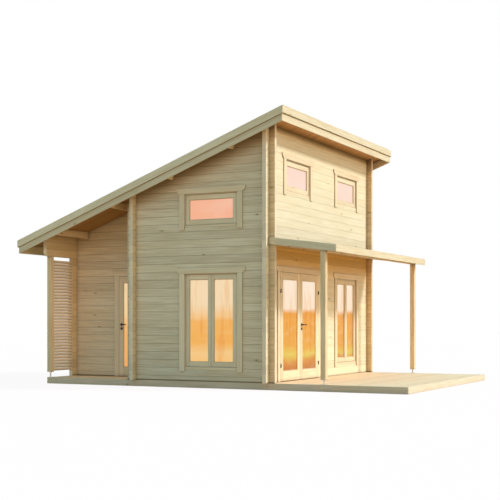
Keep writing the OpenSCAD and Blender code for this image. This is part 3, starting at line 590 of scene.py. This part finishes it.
# Barge and eaves boards: two planed spruce boards, one over the other, close each edge of the roof
# and are nailed to the purlins and to the roof boards.
def both_sides(near, far):
    return [(near, far), (house_w - far, house_w - near)]


rear_y = house_d + rear_out
lower_drop, upper_drop, upper_rise = 0.159, 0.04, 0.089
lower_barge = Planks("lower_barge_planks", 31)
for near, far in both_sides(-side_out, barge_t - side_out):
    lower_barge.add(strip(soffit, -front_out, rear_y, -lower_drop, roof_board_t), near, far, plan @ swap,
                    rise=-slope)
settle(lower_barge.make(planed_spruce), "cabin", "planed_boards", "lower_barge_boards")
upper_barge = Planks("upper_barge_planks", 37)
for near, far in both_sides(-side_out - barge_t, -side_out):
    upper_barge.add(strip(soffit, -front_out - barge_t, rear_y + barge_t, -upper_drop, upper_rise), near,
                    far, plan @ swap, rise=-slope)
settle(upper_barge.make(planed_spruce), "cabin", "planed_boards", "upper_barge_boards")


def eaves_plank(piece, out, y0, y_low, drop, rise):
    """A board along an eaves, its top bevelled and its lower edge level with the barge board's at y_low."""
    y1 = y0 + barge_t
    low = soffit(y_low) - drop
    piece.add([(y0, low), (y1, low), (y1, soffit(y1) + rise), (y0, soffit(y0) + rise)], -out,
              house_w + out, plan @ swap, "t")


lower_eaves = Planks("lower_eaves_planks", 41)
eaves_plank(lower_eaves, side_out - barge_t, -front_out, -front_out, lower_drop, roof_board_t)
eaves_plank(lower_eaves, side_out - barge_t, rear_y - barge_t, rear_y, lower_drop, roof_board_t)
settle(lower_eaves.make(planed_spruce), "cabin", "planed_boards", "lower_eaves_boards")
upper_eaves = Planks("upper_eaves_planks", 43)
eaves_plank(upper_eaves, side_out, -front_out - barge_t, -front_out - barge_t, upper_drop, upper_rise)
eaves_plank(upper_eaves, side_out, rear_y, rear_y + barge_t, upper_drop, roof_board_t)
settle(upper_eaves.make(planed_spruce), "cabin", "planed_boards", "upper_eaves_boards")


# Posts and feet: planed spruce posts, 90 mm square, on zinc-plated steel screw feet with a plate at
# each end and a threaded rod. Two carry the canopy and one the lintel over the porch.
beam_y0, beam_y1, post_w, lintel_z = -1.03, -0.94, 0.09, 2.375
canopy_d, canopy_h, fall = 1.226, 2.298, 0.158 / 1.226
foot_h, porch_foot_h, beam_drop, post_edge = 0.085, 0.105, 0.016, 0.004


def canopy_line(y):
    return canopy_h + fall * (y + canopy_d)


beam_mid = (beam_y0 + beam_y1) / 2
beam_z = canopy_line(beam_mid) - beam_drop
posts = Planks("post_timbers", 53)
for near, far in both_sides(0.0, post_w):
    posts.box((near, beam_y0, base_h + foot_h), (far, beam_y1, beam_z), "z", post_edge)
posts.box((0, house_d - post_w, base_h + porch_foot_h), (post_w, house_d, lintel_z), "z", post_edge)
settle(posts.make(planed_timber), "cabin", "planed_timbers", "posts")


def metal(name, bright, dull, metallic, rough, grain):
    """Metal with a faint mottle and small scratches."""
    finish, shader, wire = new_finish(name)
    spot = wire.add("ShaderNodeTexCoord", out="Object")
    mottle = wire.add("ShaderNodeTexNoise", None, {"Vector": spot, "Scale": grain, "Detail": 4.0})
    fine = wire.add("ShaderNodeTexNoise", None, {"Vector": spot, "Scale": grain * 9, "Detail": 2.0})
    colour = tint(mottle.between(0.35, 0.68), bright, dull)
    bump = wire.add("ShaderNodeBump", None, {"Strength": 0.15, "Distance": 0.0004, "Height": fine})
    colour.feed(shader, "Base Color")
    (mottle * 0.25 + (rough - 0.12)).feed(shader, "Roughness")
    bump.feed(shader, "Normal")
    shader.inputs["Metallic"].default_value = metallic
    return finish


zinc = metal("zinc_plate", (0.80, 0.73, 0.61, 1.0), (0.61, 0.55, 0.45, 1.0), 0.85, 0.42, 60.0)
dress(zinc, "post_feet")


def rod_thread():
    """Geometry of a screw thread: a fine ridge wound round a rod."""
    sizes = open_tree("rod_thread", "Thread", Turns="Float", Radius="Float", Height="Float", Ridge="Float",
                      Finish="Material")
    path = sizes.add("GeometryNodeCurveSpiral", None,
                     {"Resolution": 20, "Rotations": sizes.other("Turns"), "Height": sizes.other("Height"),
                      "Start Radius": sizes.other("Radius"), "End Radius": sizes.other("Radius")})
    ridge = sizes.add("GeometryNodeCurvePrimitiveCircle", None,
                      {"Resolution": 5, "Radius": sizes.other("Ridge")})
    thread = sizes.add("GeometryNodeCurveToMesh", None,
                       {"Curve": path, "Profile Curve": ridge, "Fill Caps": True})
    return close_tree(sizes, thread)


threads = rod_thread()
foot_plates, plate_t, thread_pitch, rod_r, ridge_r = 0.034, 0.008, 0.005, 0.0122, 0.0014
for name, x, y, high in (("left_foot_thread", post_w / 2, beam_mid, foot_h),
                         ("right_foot_thread", house_w - post_w / 2, beam_mid, foot_h),
                         ("porch_foot_thread", post_w / 2, house_d - post_w / 2, porch_foot_h)):
    rod_h = high - foot_plates
    thread = grow(name, threads, Turns=rod_h / thread_pitch, Radius=rod_r, Height=rod_h, Ridge=ridge_r,
                  Finish=zinc)
    thread.data.transform(plan @ Matrix.Translation((x, y, base_h + plate_t)))
    settle(thread, "cabin", "zinc_steel")


# Canopy: a front beam on the posts, a ledger on the front wall, and rafters between them that carry
# boards along the front and a felt. Planed spruce fascias close the edges.
rafter_h, rafter_w, ledger_t, fascia_t, fascia_h, sheet_t = 0.09, 0.045, 0.045, 0.023, 0.12, 0.02
rafter_bays = 7
beams = Planks("canopy_beam_timbers", 59)
beams.add([(beam_y0, beam_z), (beam_y1, beam_z), (beam_y1, canopy_line(beam_y1) + rafter_h),
           (beam_y0, canopy_line(beam_y0) + rafter_h)], 0, house_w, plan @ swap, "t")
ledger_z = canopy_line(-ledger_t)
beams.add([(-ledger_t, ledger_z), (0, ledger_z), (0, canopy_line(0) + rafter_h),
           (-ledger_t, ledger_z + rafter_h)], wall_t, house_w - wall_t, plan @ swap, "t")
settle(beams.make(planed_timber), "cabin", "planed_timbers", "canopy_beams")
rafters = Planks("canopy_rafter_timbers", 61)
lanes = [(near, far, -log_end) for near, far in both_sides(0.0, wall_t)]
for i in range(1, rafter_bays):
    x = wall_t / 2 + i * (house_w - wall_t) / rafter_bays
    lanes.append((x - rafter_w / 2, x + rafter_w / 2, -ledger_t))
for near, far, wall_end in lanes:
    for y0, y1 in ((beam_y1, wall_end), (fascia_t - canopy_d, beam_y0)):
        rafters.add(strip(canopy_line, y0, y1, 0, rafter_h), near, far, plan @ swap, rise=fall)
settle(rafters.make(planed_timber), "cabin", "planed_timbers", "canopy_rafters")
fascias = Planks("canopy_side_planks", 67)
for near, far in both_sides(-fascia_t, 0.0):
    fascias.add(strip(canopy_line, -canopy_d, 0, 0, fascia_h), near, far, plan @ swap, rise=fall)
settle(fascias.make(planed_spruce), "cabin", "planed_boards", "canopy_side_fascias")
front_fascia = Planks("canopy_front_plank", 71)
front_fascia.box((0, -canopy_d, canopy_h), (house_w, fascia_t - canopy_d, canopy_h + fascia_h), "x")
settle(front_fascia.make(planed_spruce), "cabin", "planed_boards", "canopy_front_fascia")
sheet_y0 = fascia_t - canopy_d
sheet_count = 11
sheet_step = (-log_end - sheet_y0) / sheet_count
sheet_low, sheet_high = rafter_h + lift, rafter_h + sheet_t
first_board = strip(canopy_line, sheet_y0 + slit, sheet_y0 + sheet_step - slit, sheet_low, sheet_high)
canopy_boards = row_of("canopy_board_row", 73, soffit_spruce, sheet_count,
                       (0, sheet_step, fall * sheet_step), first_board, 0, house_w, place=plan @ swap,
                       along="t", edge=0.003)
settle(canopy_boards, "cabin", "planed_boards", "canopy_boards")
wall_board = Planks("canopy_wall_board", 79)
wall_board.add(strip(canopy_line, slit - log_end, 0, sheet_low, sheet_high), wall_t, house_w - wall_t,
               plan @ swap, "t")
settle(wall_board.make(soffit_spruce), "cabin", "planed_boards")


# Roof felt: dark mineral felt in strips along the eaves, each laid over the one below it, on the
# insulation over the roof boards. The canopy has one sheet of it.
def mineral_felt():
    """Felt with mineral grit, worn in clouds and in runs down the slope."""
    finish, shader, wire = new_finish("mineral_felt")
    spot = wire.add("ShaderNodeTexCoord", out="Object")
    grit = wire.add("ShaderNodeTexNoise", None, {"Vector": spot, "Scale": 420.0, "Detail": 2.0})
    cloud = wire.add("ShaderNodeTexNoise", None, {"Vector": spot, "Scale": 1.7, "Detail": 3.0})
    colour = tint(grit.between(0.38, 0.66), (0.055, 0.048, 0.045, 1.0), (0.15, 0.135, 0.126, 1.0))
    colour = tint(cloud.between(0.35, 0.7) * 0.5, colour, (0.10, 0.098, 0.094, 1.0))
    down = wire.add("ShaderNodeVectorMath", {"operation": "MULTIPLY"}, {0: spot, 1: (9.0, 0.5, 0.5)})
    runs = wire.add("ShaderNodeTexNoise", None, {"Vector": down, "Scale": 1.0, "Detail": 4.0})
    colour = tint(runs.between(0.45, 0.75) * 0.5, colour, (0.17, 0.165, 0.155, 1.0))
    tone = wire.add("ShaderNodeAttribute", {"attribute_name": "tone"}, None, "Fac")
    colour = tint(1.0, colour, tone * 0.3 + 0.85, "MULTIPLY")
    bump = wire.add("ShaderNodeBump", None, {"Strength": 0.5, "Distance": 0.001, "Height": grit})
    colour.feed(shader, "Base Color")
    bump.feed(shader, "Normal")
    shader.inputs["Roughness"].default_value = 0.92
    return finish


felt = mineral_felt()
dress(felt, "roof_covering", "canopy_covering")
strip_count, strip_step, strip_l, felt_t, felt_in, cover_h = 6, 0.9, 0.94, 0.004, 0.001, 0.073
felt_y0 = felt_in - front_out
felt_y1 = felt_y0 + strip_l
felt_z0 = soffit(felt_y0) + cover_h
felt_z1 = felt_z0 - slope * strip_l + felt_t
felt_strips = row_of("roof_felt_strips", 47, felt, strip_count, (0, strip_step, -slope * strip_step),
                     [(felt_y0, felt_z0), (felt_y1, felt_z1), (felt_y1, felt_z1 + felt_t),
                      (felt_y0, felt_z0 + felt_t)], felt_in - side_out, house_w + side_out - felt_in,
                     place=plan @ swap, along="t", edge=0.001)
settle(felt_strips, "cabin", "roof_felt")


# Fixings: zinc-plated steel screws, two through each deck board into each bearer, and nails in the
# barge and eaves boards. Their heads stand just proud of the wood.
def head_grid():
    """Geometry that sets fixing heads on a grid, flat on the xy plane."""
    sizes = open_tree("head_grid", "Heads", Columns="Int", Rows="Int", Long="Float", Wide="Float",
                      Radius="Float", Finish="Material")
    spots = sizes.add("GeometryNodeMeshGrid", None,
                      {"Size X": sizes.other("Long"), "Size Y": sizes.other("Wide"),
                       "Vertices X": sizes.other("Columns"), "Vertices Y": sizes.other("Rows")})
    head = sizes.add("GeometryNodeMeshCone", None,
                     {"Vertices": 10, "Radius Top": sizes.other("Radius") * 0.75,
                      "Radius Bottom": sizes.other("Radius"), "Depth": 0.0012})
    heads = sizes.add("GeometryNodeInstanceOnPoints", None, {"Points": spots, "Instance": head})
    return close_tree(sizes, heads)


heads_rule = head_grid()


def fix(name, spot, run, up, columns, rows, long, wide, radius):
    """Fixing heads round a spot on a face of the plan that runs and rises along two directions."""
    run, up = Vector(run).normalized(), Vector(up).normalized()
    turn = Matrix((run, up, run.cross(up))).transposed().to_4x4()
    piece = grow(name, heads_rule, Columns=columns, Rows=rows, Long=long, Wide=wide, Radius=radius,
                 Finish=zinc)
    piece.data.transform(plan @ Matrix.Translation(spot) @ turn)
    settle(piece, "cabin", "zinc_steel")


screw_r, screw_sink, nail_r, barge_pair, eaves_pair, eaves_columns = 0.004, 0.0004, 0.003, 0.06, 0.04, 9
under_wall = 0.12
for name, columns, y0, y1, boards in (
        ("terrace_screws", bearer_count, deck_y0, 0.0, terrace_count),
        ("porch_deck_screws", 2, main_d + under_wall, deck_y1, rear_count - 1)):
    long = bearer_step * (columns - 1)
    wide = (y1 - y0) * (1 - 0.5 / boards)
    middle = (skirt_t + bearer_w / 2 + long / 2, (y0 + y1) / 2, base_h - screw_sink)
    fix(name, middle, (1, 0, 0), (0, 1, 0), columns, 2 * boards, long, wide, screw_r)
purlins_l = purlin_step * (purlin_count - 1)
nails_l = purlins_l * math.sqrt(1 + slope * slope)
nails_y = purlin_y + purlin_w / 2 + purlins_l / 2
for name, out, over in (("lower_barge_nails", side_out, -0.1),
                        ("upper_barge_nails", side_out + barge_t, 0.025)):
    for side, x, way in (("left_", -out, -1), ("right_", house_w + out, 1)):
        fix(side + name, (x, nails_y, soffit(nails_y) + over), (0, way, -way * slope), (0, slope, 1),
            purlin_count, 2, nails_l, barge_pair, nail_r)
for name, y, way, over in (("front_eaves_nails", -front_out - barge_t, 1, 0.025),
                           ("rear_eaves_nails", rear_y + barge_t, -1, -0.005)):
    fix(name, (house_w / 2, y, soffit(y) + over), (way, 0, 0), (0, 0, 1), eaves_columns, 2, house_w,
        eaves_pair, nail_r)


# Porch screen: planed spruce slats nailed across two upright battens, between the porch post and
# the end of the rear wall.
screen_foot, screen_gap, stub_l, batten = 0.117, 0.062, 0.155, 0.034
screen_x0, screen_x1 = post_w, porch_d - stub_l
screen_z0, screen_z1 = base_h + screen_foot, lintel_z - screen_gap
slat_h, slat_t, slat_step = 0.052, 0.02, 0.0563
slat_count = int((screen_z1 - screen_z0 - slat_h) / slat_step + 1e-6) + 1
slat_y = house_d - batten


def on_slats(wire):
    """The grain of a slat, with painted shade along its lower edge."""
    laid = on_plank(wire)[:4]
    spot = wire.add("ShaderNodeTexCoord", out="Object")
    z = wire.add("ShaderNodeSeparateXYZ", None, {0: spot}, 2)
    turn = (z - screen_z0) / slat_step
    return *laid, 1 - turn.maths("FRACT", turn).between(0.3, 0.5), None


# Painted light: the slats' finish is paler than the battens' planed spruce, to brighten them in the porch's
# shade.
slat_spruce = spruce("slat_spruce", on_slats, (1.0, 0.84, 0.62, 1.0), (0.96, 0.77, 0.53, 1.0), 0.03,
                     seam_and_shade_share=0.5, crevice_shade=0.15)
slats = row_of("screen_slats", 83, slat_spruce, slat_count, (0, 0, slat_step),
               oblong((screen_x0, screen_z0), (screen_x1, screen_z0 + slat_h)), slat_y - slat_t, slat_y)
settle(slats, "cabin", "planed_boards", "slat_screen")
battens = Planks("screen_battens", 89)
for x in (screen_x0, screen_x1 - batten):
    battens.box((x, slat_y, screen_z0), (x + batten, house_d, screen_z1), "z")
settle(battens.make(planed_spruce), "cabin", "planed_boards")


# Windows: spruce frames set in the log walls, with one glazed sash or two, glazing beads, and planed
# casing boards round them. The head casing has bevelled ears over the side casings.
joinery_spruce = spruce("joinery_spruce", on_plank, (0.99, 0.815, 0.57, 1.0), (0.90, 0.685, 0.43, 1.0),
                        0.02, 0.6, crevice_shade=0.6)


def turned(x, y, angle):
    """Place on a wall: u runs along the wall from (x, y), t into the room and w up."""
    return plan @ Matrix.Translation((x, y, 0)) @ Matrix.Rotation(math.radians(angle), 4, "Z")


def casing(piece, place, half, low, head):
    """Two side boards and a head board with bevelled ears, on the wall's face."""
    out, board_w, ear, bevel = -0.02, 0.1, 0.055, 0.048
    end = half + board_w + ear
    piece.add([(bevel - end, head), (end - bevel, head), (end, head + bevel), (end, head + board_w),
               (-end, head + board_w), (-end, head + bevel)], out, 0, place)
    for x in (-half - board_w, half):
        piece.add(oblong((x, low), (x + board_w, head)), out, 0, place, "w")


def surround(piece, place, low, high, stiles, rails, near, far, edge=0.002):
    """Four boards round an opening between two corners: two stiles, and two rails between them."""
    (x0, z0), (x1, z1) = low, high
    x_in, x_out = x0 + stiles[0], x1 - stiles[1]
    piece.add(oblong((x0, z0), (x_in, z1)), near, far, place, "w", edge=edge)
    piece.add(oblong((x_out, z0), (x1, z1)), near, far, place, "w", edge=edge)
    piece.add(oblong((x_in, z0), (x_out, z0 + rails[0])), near, far, place, edge=edge)
    piece.add(oblong((x_in, z1 - rails[1]), (x_out, z1)), near, far, place, edge=edge)


def beads(piece, place, low, high, *depths):
    """Glazing beads round a pane, on each of its faces."""
    bead_w = 0.011
    for near, far in depths:
        surround(piece, place, low, high, (bead_w, bead_w), (bead_w, bead_w), near, far, 0.004)


def window(piece, place, z, h, sashes):
    """A window with its sill at z: casing, frame and stop, and one or two sashes with their beads."""
    half, frame_w, lap, foot, gap, stop_w = 0.55, 0.045, 0.03, 0.035, 0.004, 0.02
    stile, meeting, rail = 0.075 - gap, 0.056 - gap / 2, 0.088
    face, back, bead_face, bead_back, front_pane, rear_pane = 0.012, 0.057, 0.02, 0.056, 0.0343, 0.0487
    casing(piece, place, half - lap, z - foot, z + h - lap)
    surround(piece, place, (-half, z), (half, z + h), (frame_w, frame_w), (frame_w, frame_w), 0, wall_t)
    inner = half - frame_w
    low, high = z + frame_w, z + h - frame_w
    surround(piece, place, (-inner, low), (inner, high), (stop_w, stop_w), (stop_w, stop_w), back + slit,
             wall_t)
    spans = [(gap - inner, inner - gap, stile, stile)]
    if sashes == 2:
        spans = [(gap - inner, -gap / 2, stile, meeting), (gap / 2, inner - gap, meeting, stile)]
    for x0, x1, s0, s1 in spans:
        surround(piece, place, (x0, low + gap), (x1, high - gap), (s0, s1), (rail - gap, rail - gap), face,
                 back)
        beads(piece, place, (x0 + s0, low + rail), (x1 - s1, high - rail), (bead_face, front_pane),
              (rear_pane, bead_back))
    if sashes == 2:
        piece.add(oblong((-stop_w, low), (stop_w, high)), back + slit, wall_t, place, "w", edge=0.002)


gable_mid, tall_z, tall_h, loft_h, gable_loft_z, front_loft_z = 1.115, 0.32, 1.7, 0.62, 2.7902, 3.3902
loft_mid = 1.195
front_mid = house_w - loft_mid
for name, seed, place in (("left_gable_windows", 97, turned(0, gable_mid, -90)),
                          ("right_gable_windows", 101, turned(house_w, gable_mid, 90))):
    piece = Planks(name + "_joinery", seed)
    window(piece, place, tall_z, tall_h, 2)
    window(piece, place, gable_loft_z, loft_h, 1)
    settle(piece.make(joinery_spruce), "cabin", "joinery", name)
front_windows = Planks("front_windows_joinery", 103)
window(front_windows, turned(front_mid, 0, 0), tall_z, tall_h, 2)
window(front_windows, turned(front_mid, 0, 0), front_loft_z, loft_h, 1)
window(front_windows, turned(loft_mid, 0, 0), front_loft_z, loft_h, 1)
settle(front_windows.make(joinery_spruce), "cabin", "joinery", "front_windows")


# Doors: spruce frames with a stop and a threshold, cased like the windows. The leaves are framed
# from two stiles and two rails round one tall pane, which glazing beads hold.
leaf_z, leaf_top, leaf_gap, double_w, porch_w = 0.126, 2.008, 0.005, 1.625, 0.68
double_mid, porch_mid, meeting_gap = 1.2425, 3.215, 0.004
leaf_face, leaf_back, pane_near, pane_far = -0.02, 0.025, -0.0045, 0.0095


def door_frame(piece, place, width):
    """A door's casing, its jambs and head with a stop behind the leaf, and its threshold."""
    half, head, frame_w, stop, threshold_t = width / 2 + leaf_gap, leaf_top + leaf_gap, 0.045, 0.015, 0.005
    casing(piece, place, half, base_h, head)
    for near, far, reach in ((0, leaf_back + leaf_gap, 0.0), (leaf_back + leaf_gap, wall_t, stop)):
        for x in (-half - frame_w, half - reach):
            piece.add(oblong((x, base_h), (x + frame_w + reach, head + frame_w)), near, far, place, "w",
                      edge=0.002)
        piece.add(oblong((reach - half, head - reach), (half - reach, head + frame_w)), near, far, place,
                  edge=0.002)
    piece.add(oblong((-half, base_h), (half, base_h + threshold_t)), 0, wall_t, place, edge=0.001)


def leaf(piece, place, x0, x1):
    """A door leaf's stiles and rails, with glazing beads set a little under its faces."""
    stile, top, bottom, under, clear = 0.1, 0.12, 0.17, 0.003, 0.0002
    surround(piece, place, (x0, leaf_z), (x1, leaf_top), (stile, stile), (bottom, top), leaf_face,
             leaf_back)
    beads(piece, place, (x0 + stile, leaf_z + bottom), (x1 - stile, leaf_top - top),
          (leaf_face + under, pane_near - clear), (pane_far + clear, leaf_back - under))


front_door, porch_door = turned(double_mid, 0, 0), turned(porch_d, porch_mid, -90)
for name, seed, place, width in (("front_door_frame", 107, front_door, double_w),
                                 ("porch_door_frame", 109, porch_door, porch_w)):
    piece = Planks(name + "_joinery", seed)
    door_frame(piece, place, width)
    settle(piece.make(joinery_spruce), "cabin", "joinery", name)
for body, seed, place, x0, x1 in (("left_door", 113, front_door, -double_w / 2, -meeting_gap),
                                  ("right_door", 127, front_door, meeting_gap, double_w / 2),
                                  ("porch_door", 131, porch_door, -porch_w / 2, porch_w / 2)):
    piece = Planks(body + "_joinery", seed)
    leaf(piece, place, x0, x1)
    settle(piece.make(joinery_spruce), body, "joinery", body + "_leaf")


# Panes: sealed double glazing held by the beads. The glass carries a painted reflection of an evening
# sky and land, orange low down and rosy above, which glows by emission though no lamp is behind it.
def reflection_glass(name, stops):
    """Glass with a painted reflection of an evening sky, hills and trees, in colours by height, which glows
    by emission.
    """
    top_h, loft_low, loft_high = 4.2, 2.3, 2.5
    finish, shader, wire = new_finish(name)
    spot = wire.add("ShaderNodeTexCoord", out="Object")
    z = wire.add("ShaderNodeSeparateXYZ", None, {0: spot}, 2)
    flat = wire.add("ShaderNodeVectorMath", {"operation": "MULTIPLY"}, {0: spot, 1: (1.0, 1.0, 3.0)})
    tall = wire.add("ShaderNodeVectorMath", {"operation": "MULTIPLY"}, {0: spot, 1: (1.0, 1.0, 0.12)})
    hills = wire.add("ShaderNodeTexNoise", None, {"Vector": flat, "Scale": 1.3, "Detail": 4.0})
    haze = wire.add("ShaderNodeTexNoise", None, {"Vector": flat, "Scale": 3.0, "Detail": 3.0})
    trees = wire.add("ShaderNodeTexNoise", None, {"Vector": tall, "Scale": 9.0, "Detail": 2.0})
    level = (z + (hills - 0.5) * 0.2) / top_h
    ramp = [(height / top_h, (*colour, 1.0)) for height, colour in stops]
    # The painted reflection: sky, hills and land in colours by height, with darker streaks of trees.
    painted_reflection = wire.add("ShaderNodeValToRGB", {"stops": ramp}, {0: level})
    loft = z.between(loft_low, loft_high)
    dusk = tint(1.0, painted_reflection, (0.92, 0.72, 0.55, 1.0), "MULTIPLY")
    painted_reflection = tint(trees.between(0.52, 0.62) * (1 - loft) * 0.5, painted_reflection, dusk)
    painted_reflection = tint(haze.between(0.46, 0.74) * 0.12, painted_reflection, (1.0, 0.80, 0.52, 1.0))
    painted_reflection = tint(hills.between(0.42, 0.66) * loft * 0.12, painted_reflection, (1.0, 0.88, 0.82, 1.0))
    base = tint(1.0, painted_reflection, (0.12, 0.12, 0.12, 1.0), "MULTIPLY")
    base.feed(shader, "Base Color")
    # The painted reflection also feeds the emission, so the pane glows though no lamp is behind it.
    painted_reflection.feed(shader, "Emission Color")
    shader.inputs["Emission Strength"].default_value = 0.86
    shader.inputs["Specular IOR Level"].default_value = 0.1
    shader.inputs["Roughness"].default_value = 0.03
    shader.inputs["Alpha"].default_value = 0.92
    return finish


front_glass = reflection_glass("front_glass", [
    (0.30, (0.58, 0.19, 0.03)), (0.46, (0.72, 0.28, 0.04)), (0.57, (0.80, 0.57, 0.08)),
    (0.72, (0.84, 0.39, 0.045)), (1.30, (0.86, 0.36, 0.035)), (1.40, (1.0, 0.80, 0.60)),
    (2.4, (1.0, 0.86, 0.69)), (2.5, (1.0, 0.70, 0.58))])
side_glass = reflection_glass("side_glass", [
    (0.42, (1.0, 0.58, 0.20)), (0.62, (1.0, 0.64, 0.27)), (0.80, (0.98, 0.48, 0.11)),
    (1.16, (0.99, 0.51, 0.14)), (1.24, (1.0, 0.63, 0.29)), (1.45, (1.0, 0.76, 0.48)),
    (2.4, (1.0, 0.76, 0.48)), (2.5, (1.0, 0.49, 0.31))])
porch_glass = reflection_glass("porch_glass", [
    (0.30, (0.97, 0.44, 0.13)), (1.05, (1.0, 0.50, 0.16)), (1.30, (1.0, 0.70, 0.34)),
    (1.9, (1.0, 0.78, 0.46))])
dress(front_glass, "front_panes", "left_door_pane", "right_door_pane")
dress(side_glass, "left_gable_panes", "right_gable_panes")
dress(porch_glass, "porch_door_pane")


# Door hardware: lever handles with round roses and key roses on two leaves, and lift-off hinges,
# all of steel with a dark satin coat.
dark_steel = metal("dark_satin_steel", (0.06, 0.052, 0.045, 1.0), (0.025, 0.022, 0.02, 1.0), 0.6, 0.45,
                   45.0)
dress(dark_steel, "left_door_hinges", "right_door_hardware", "porch_door_hardware", "frame_hinges")
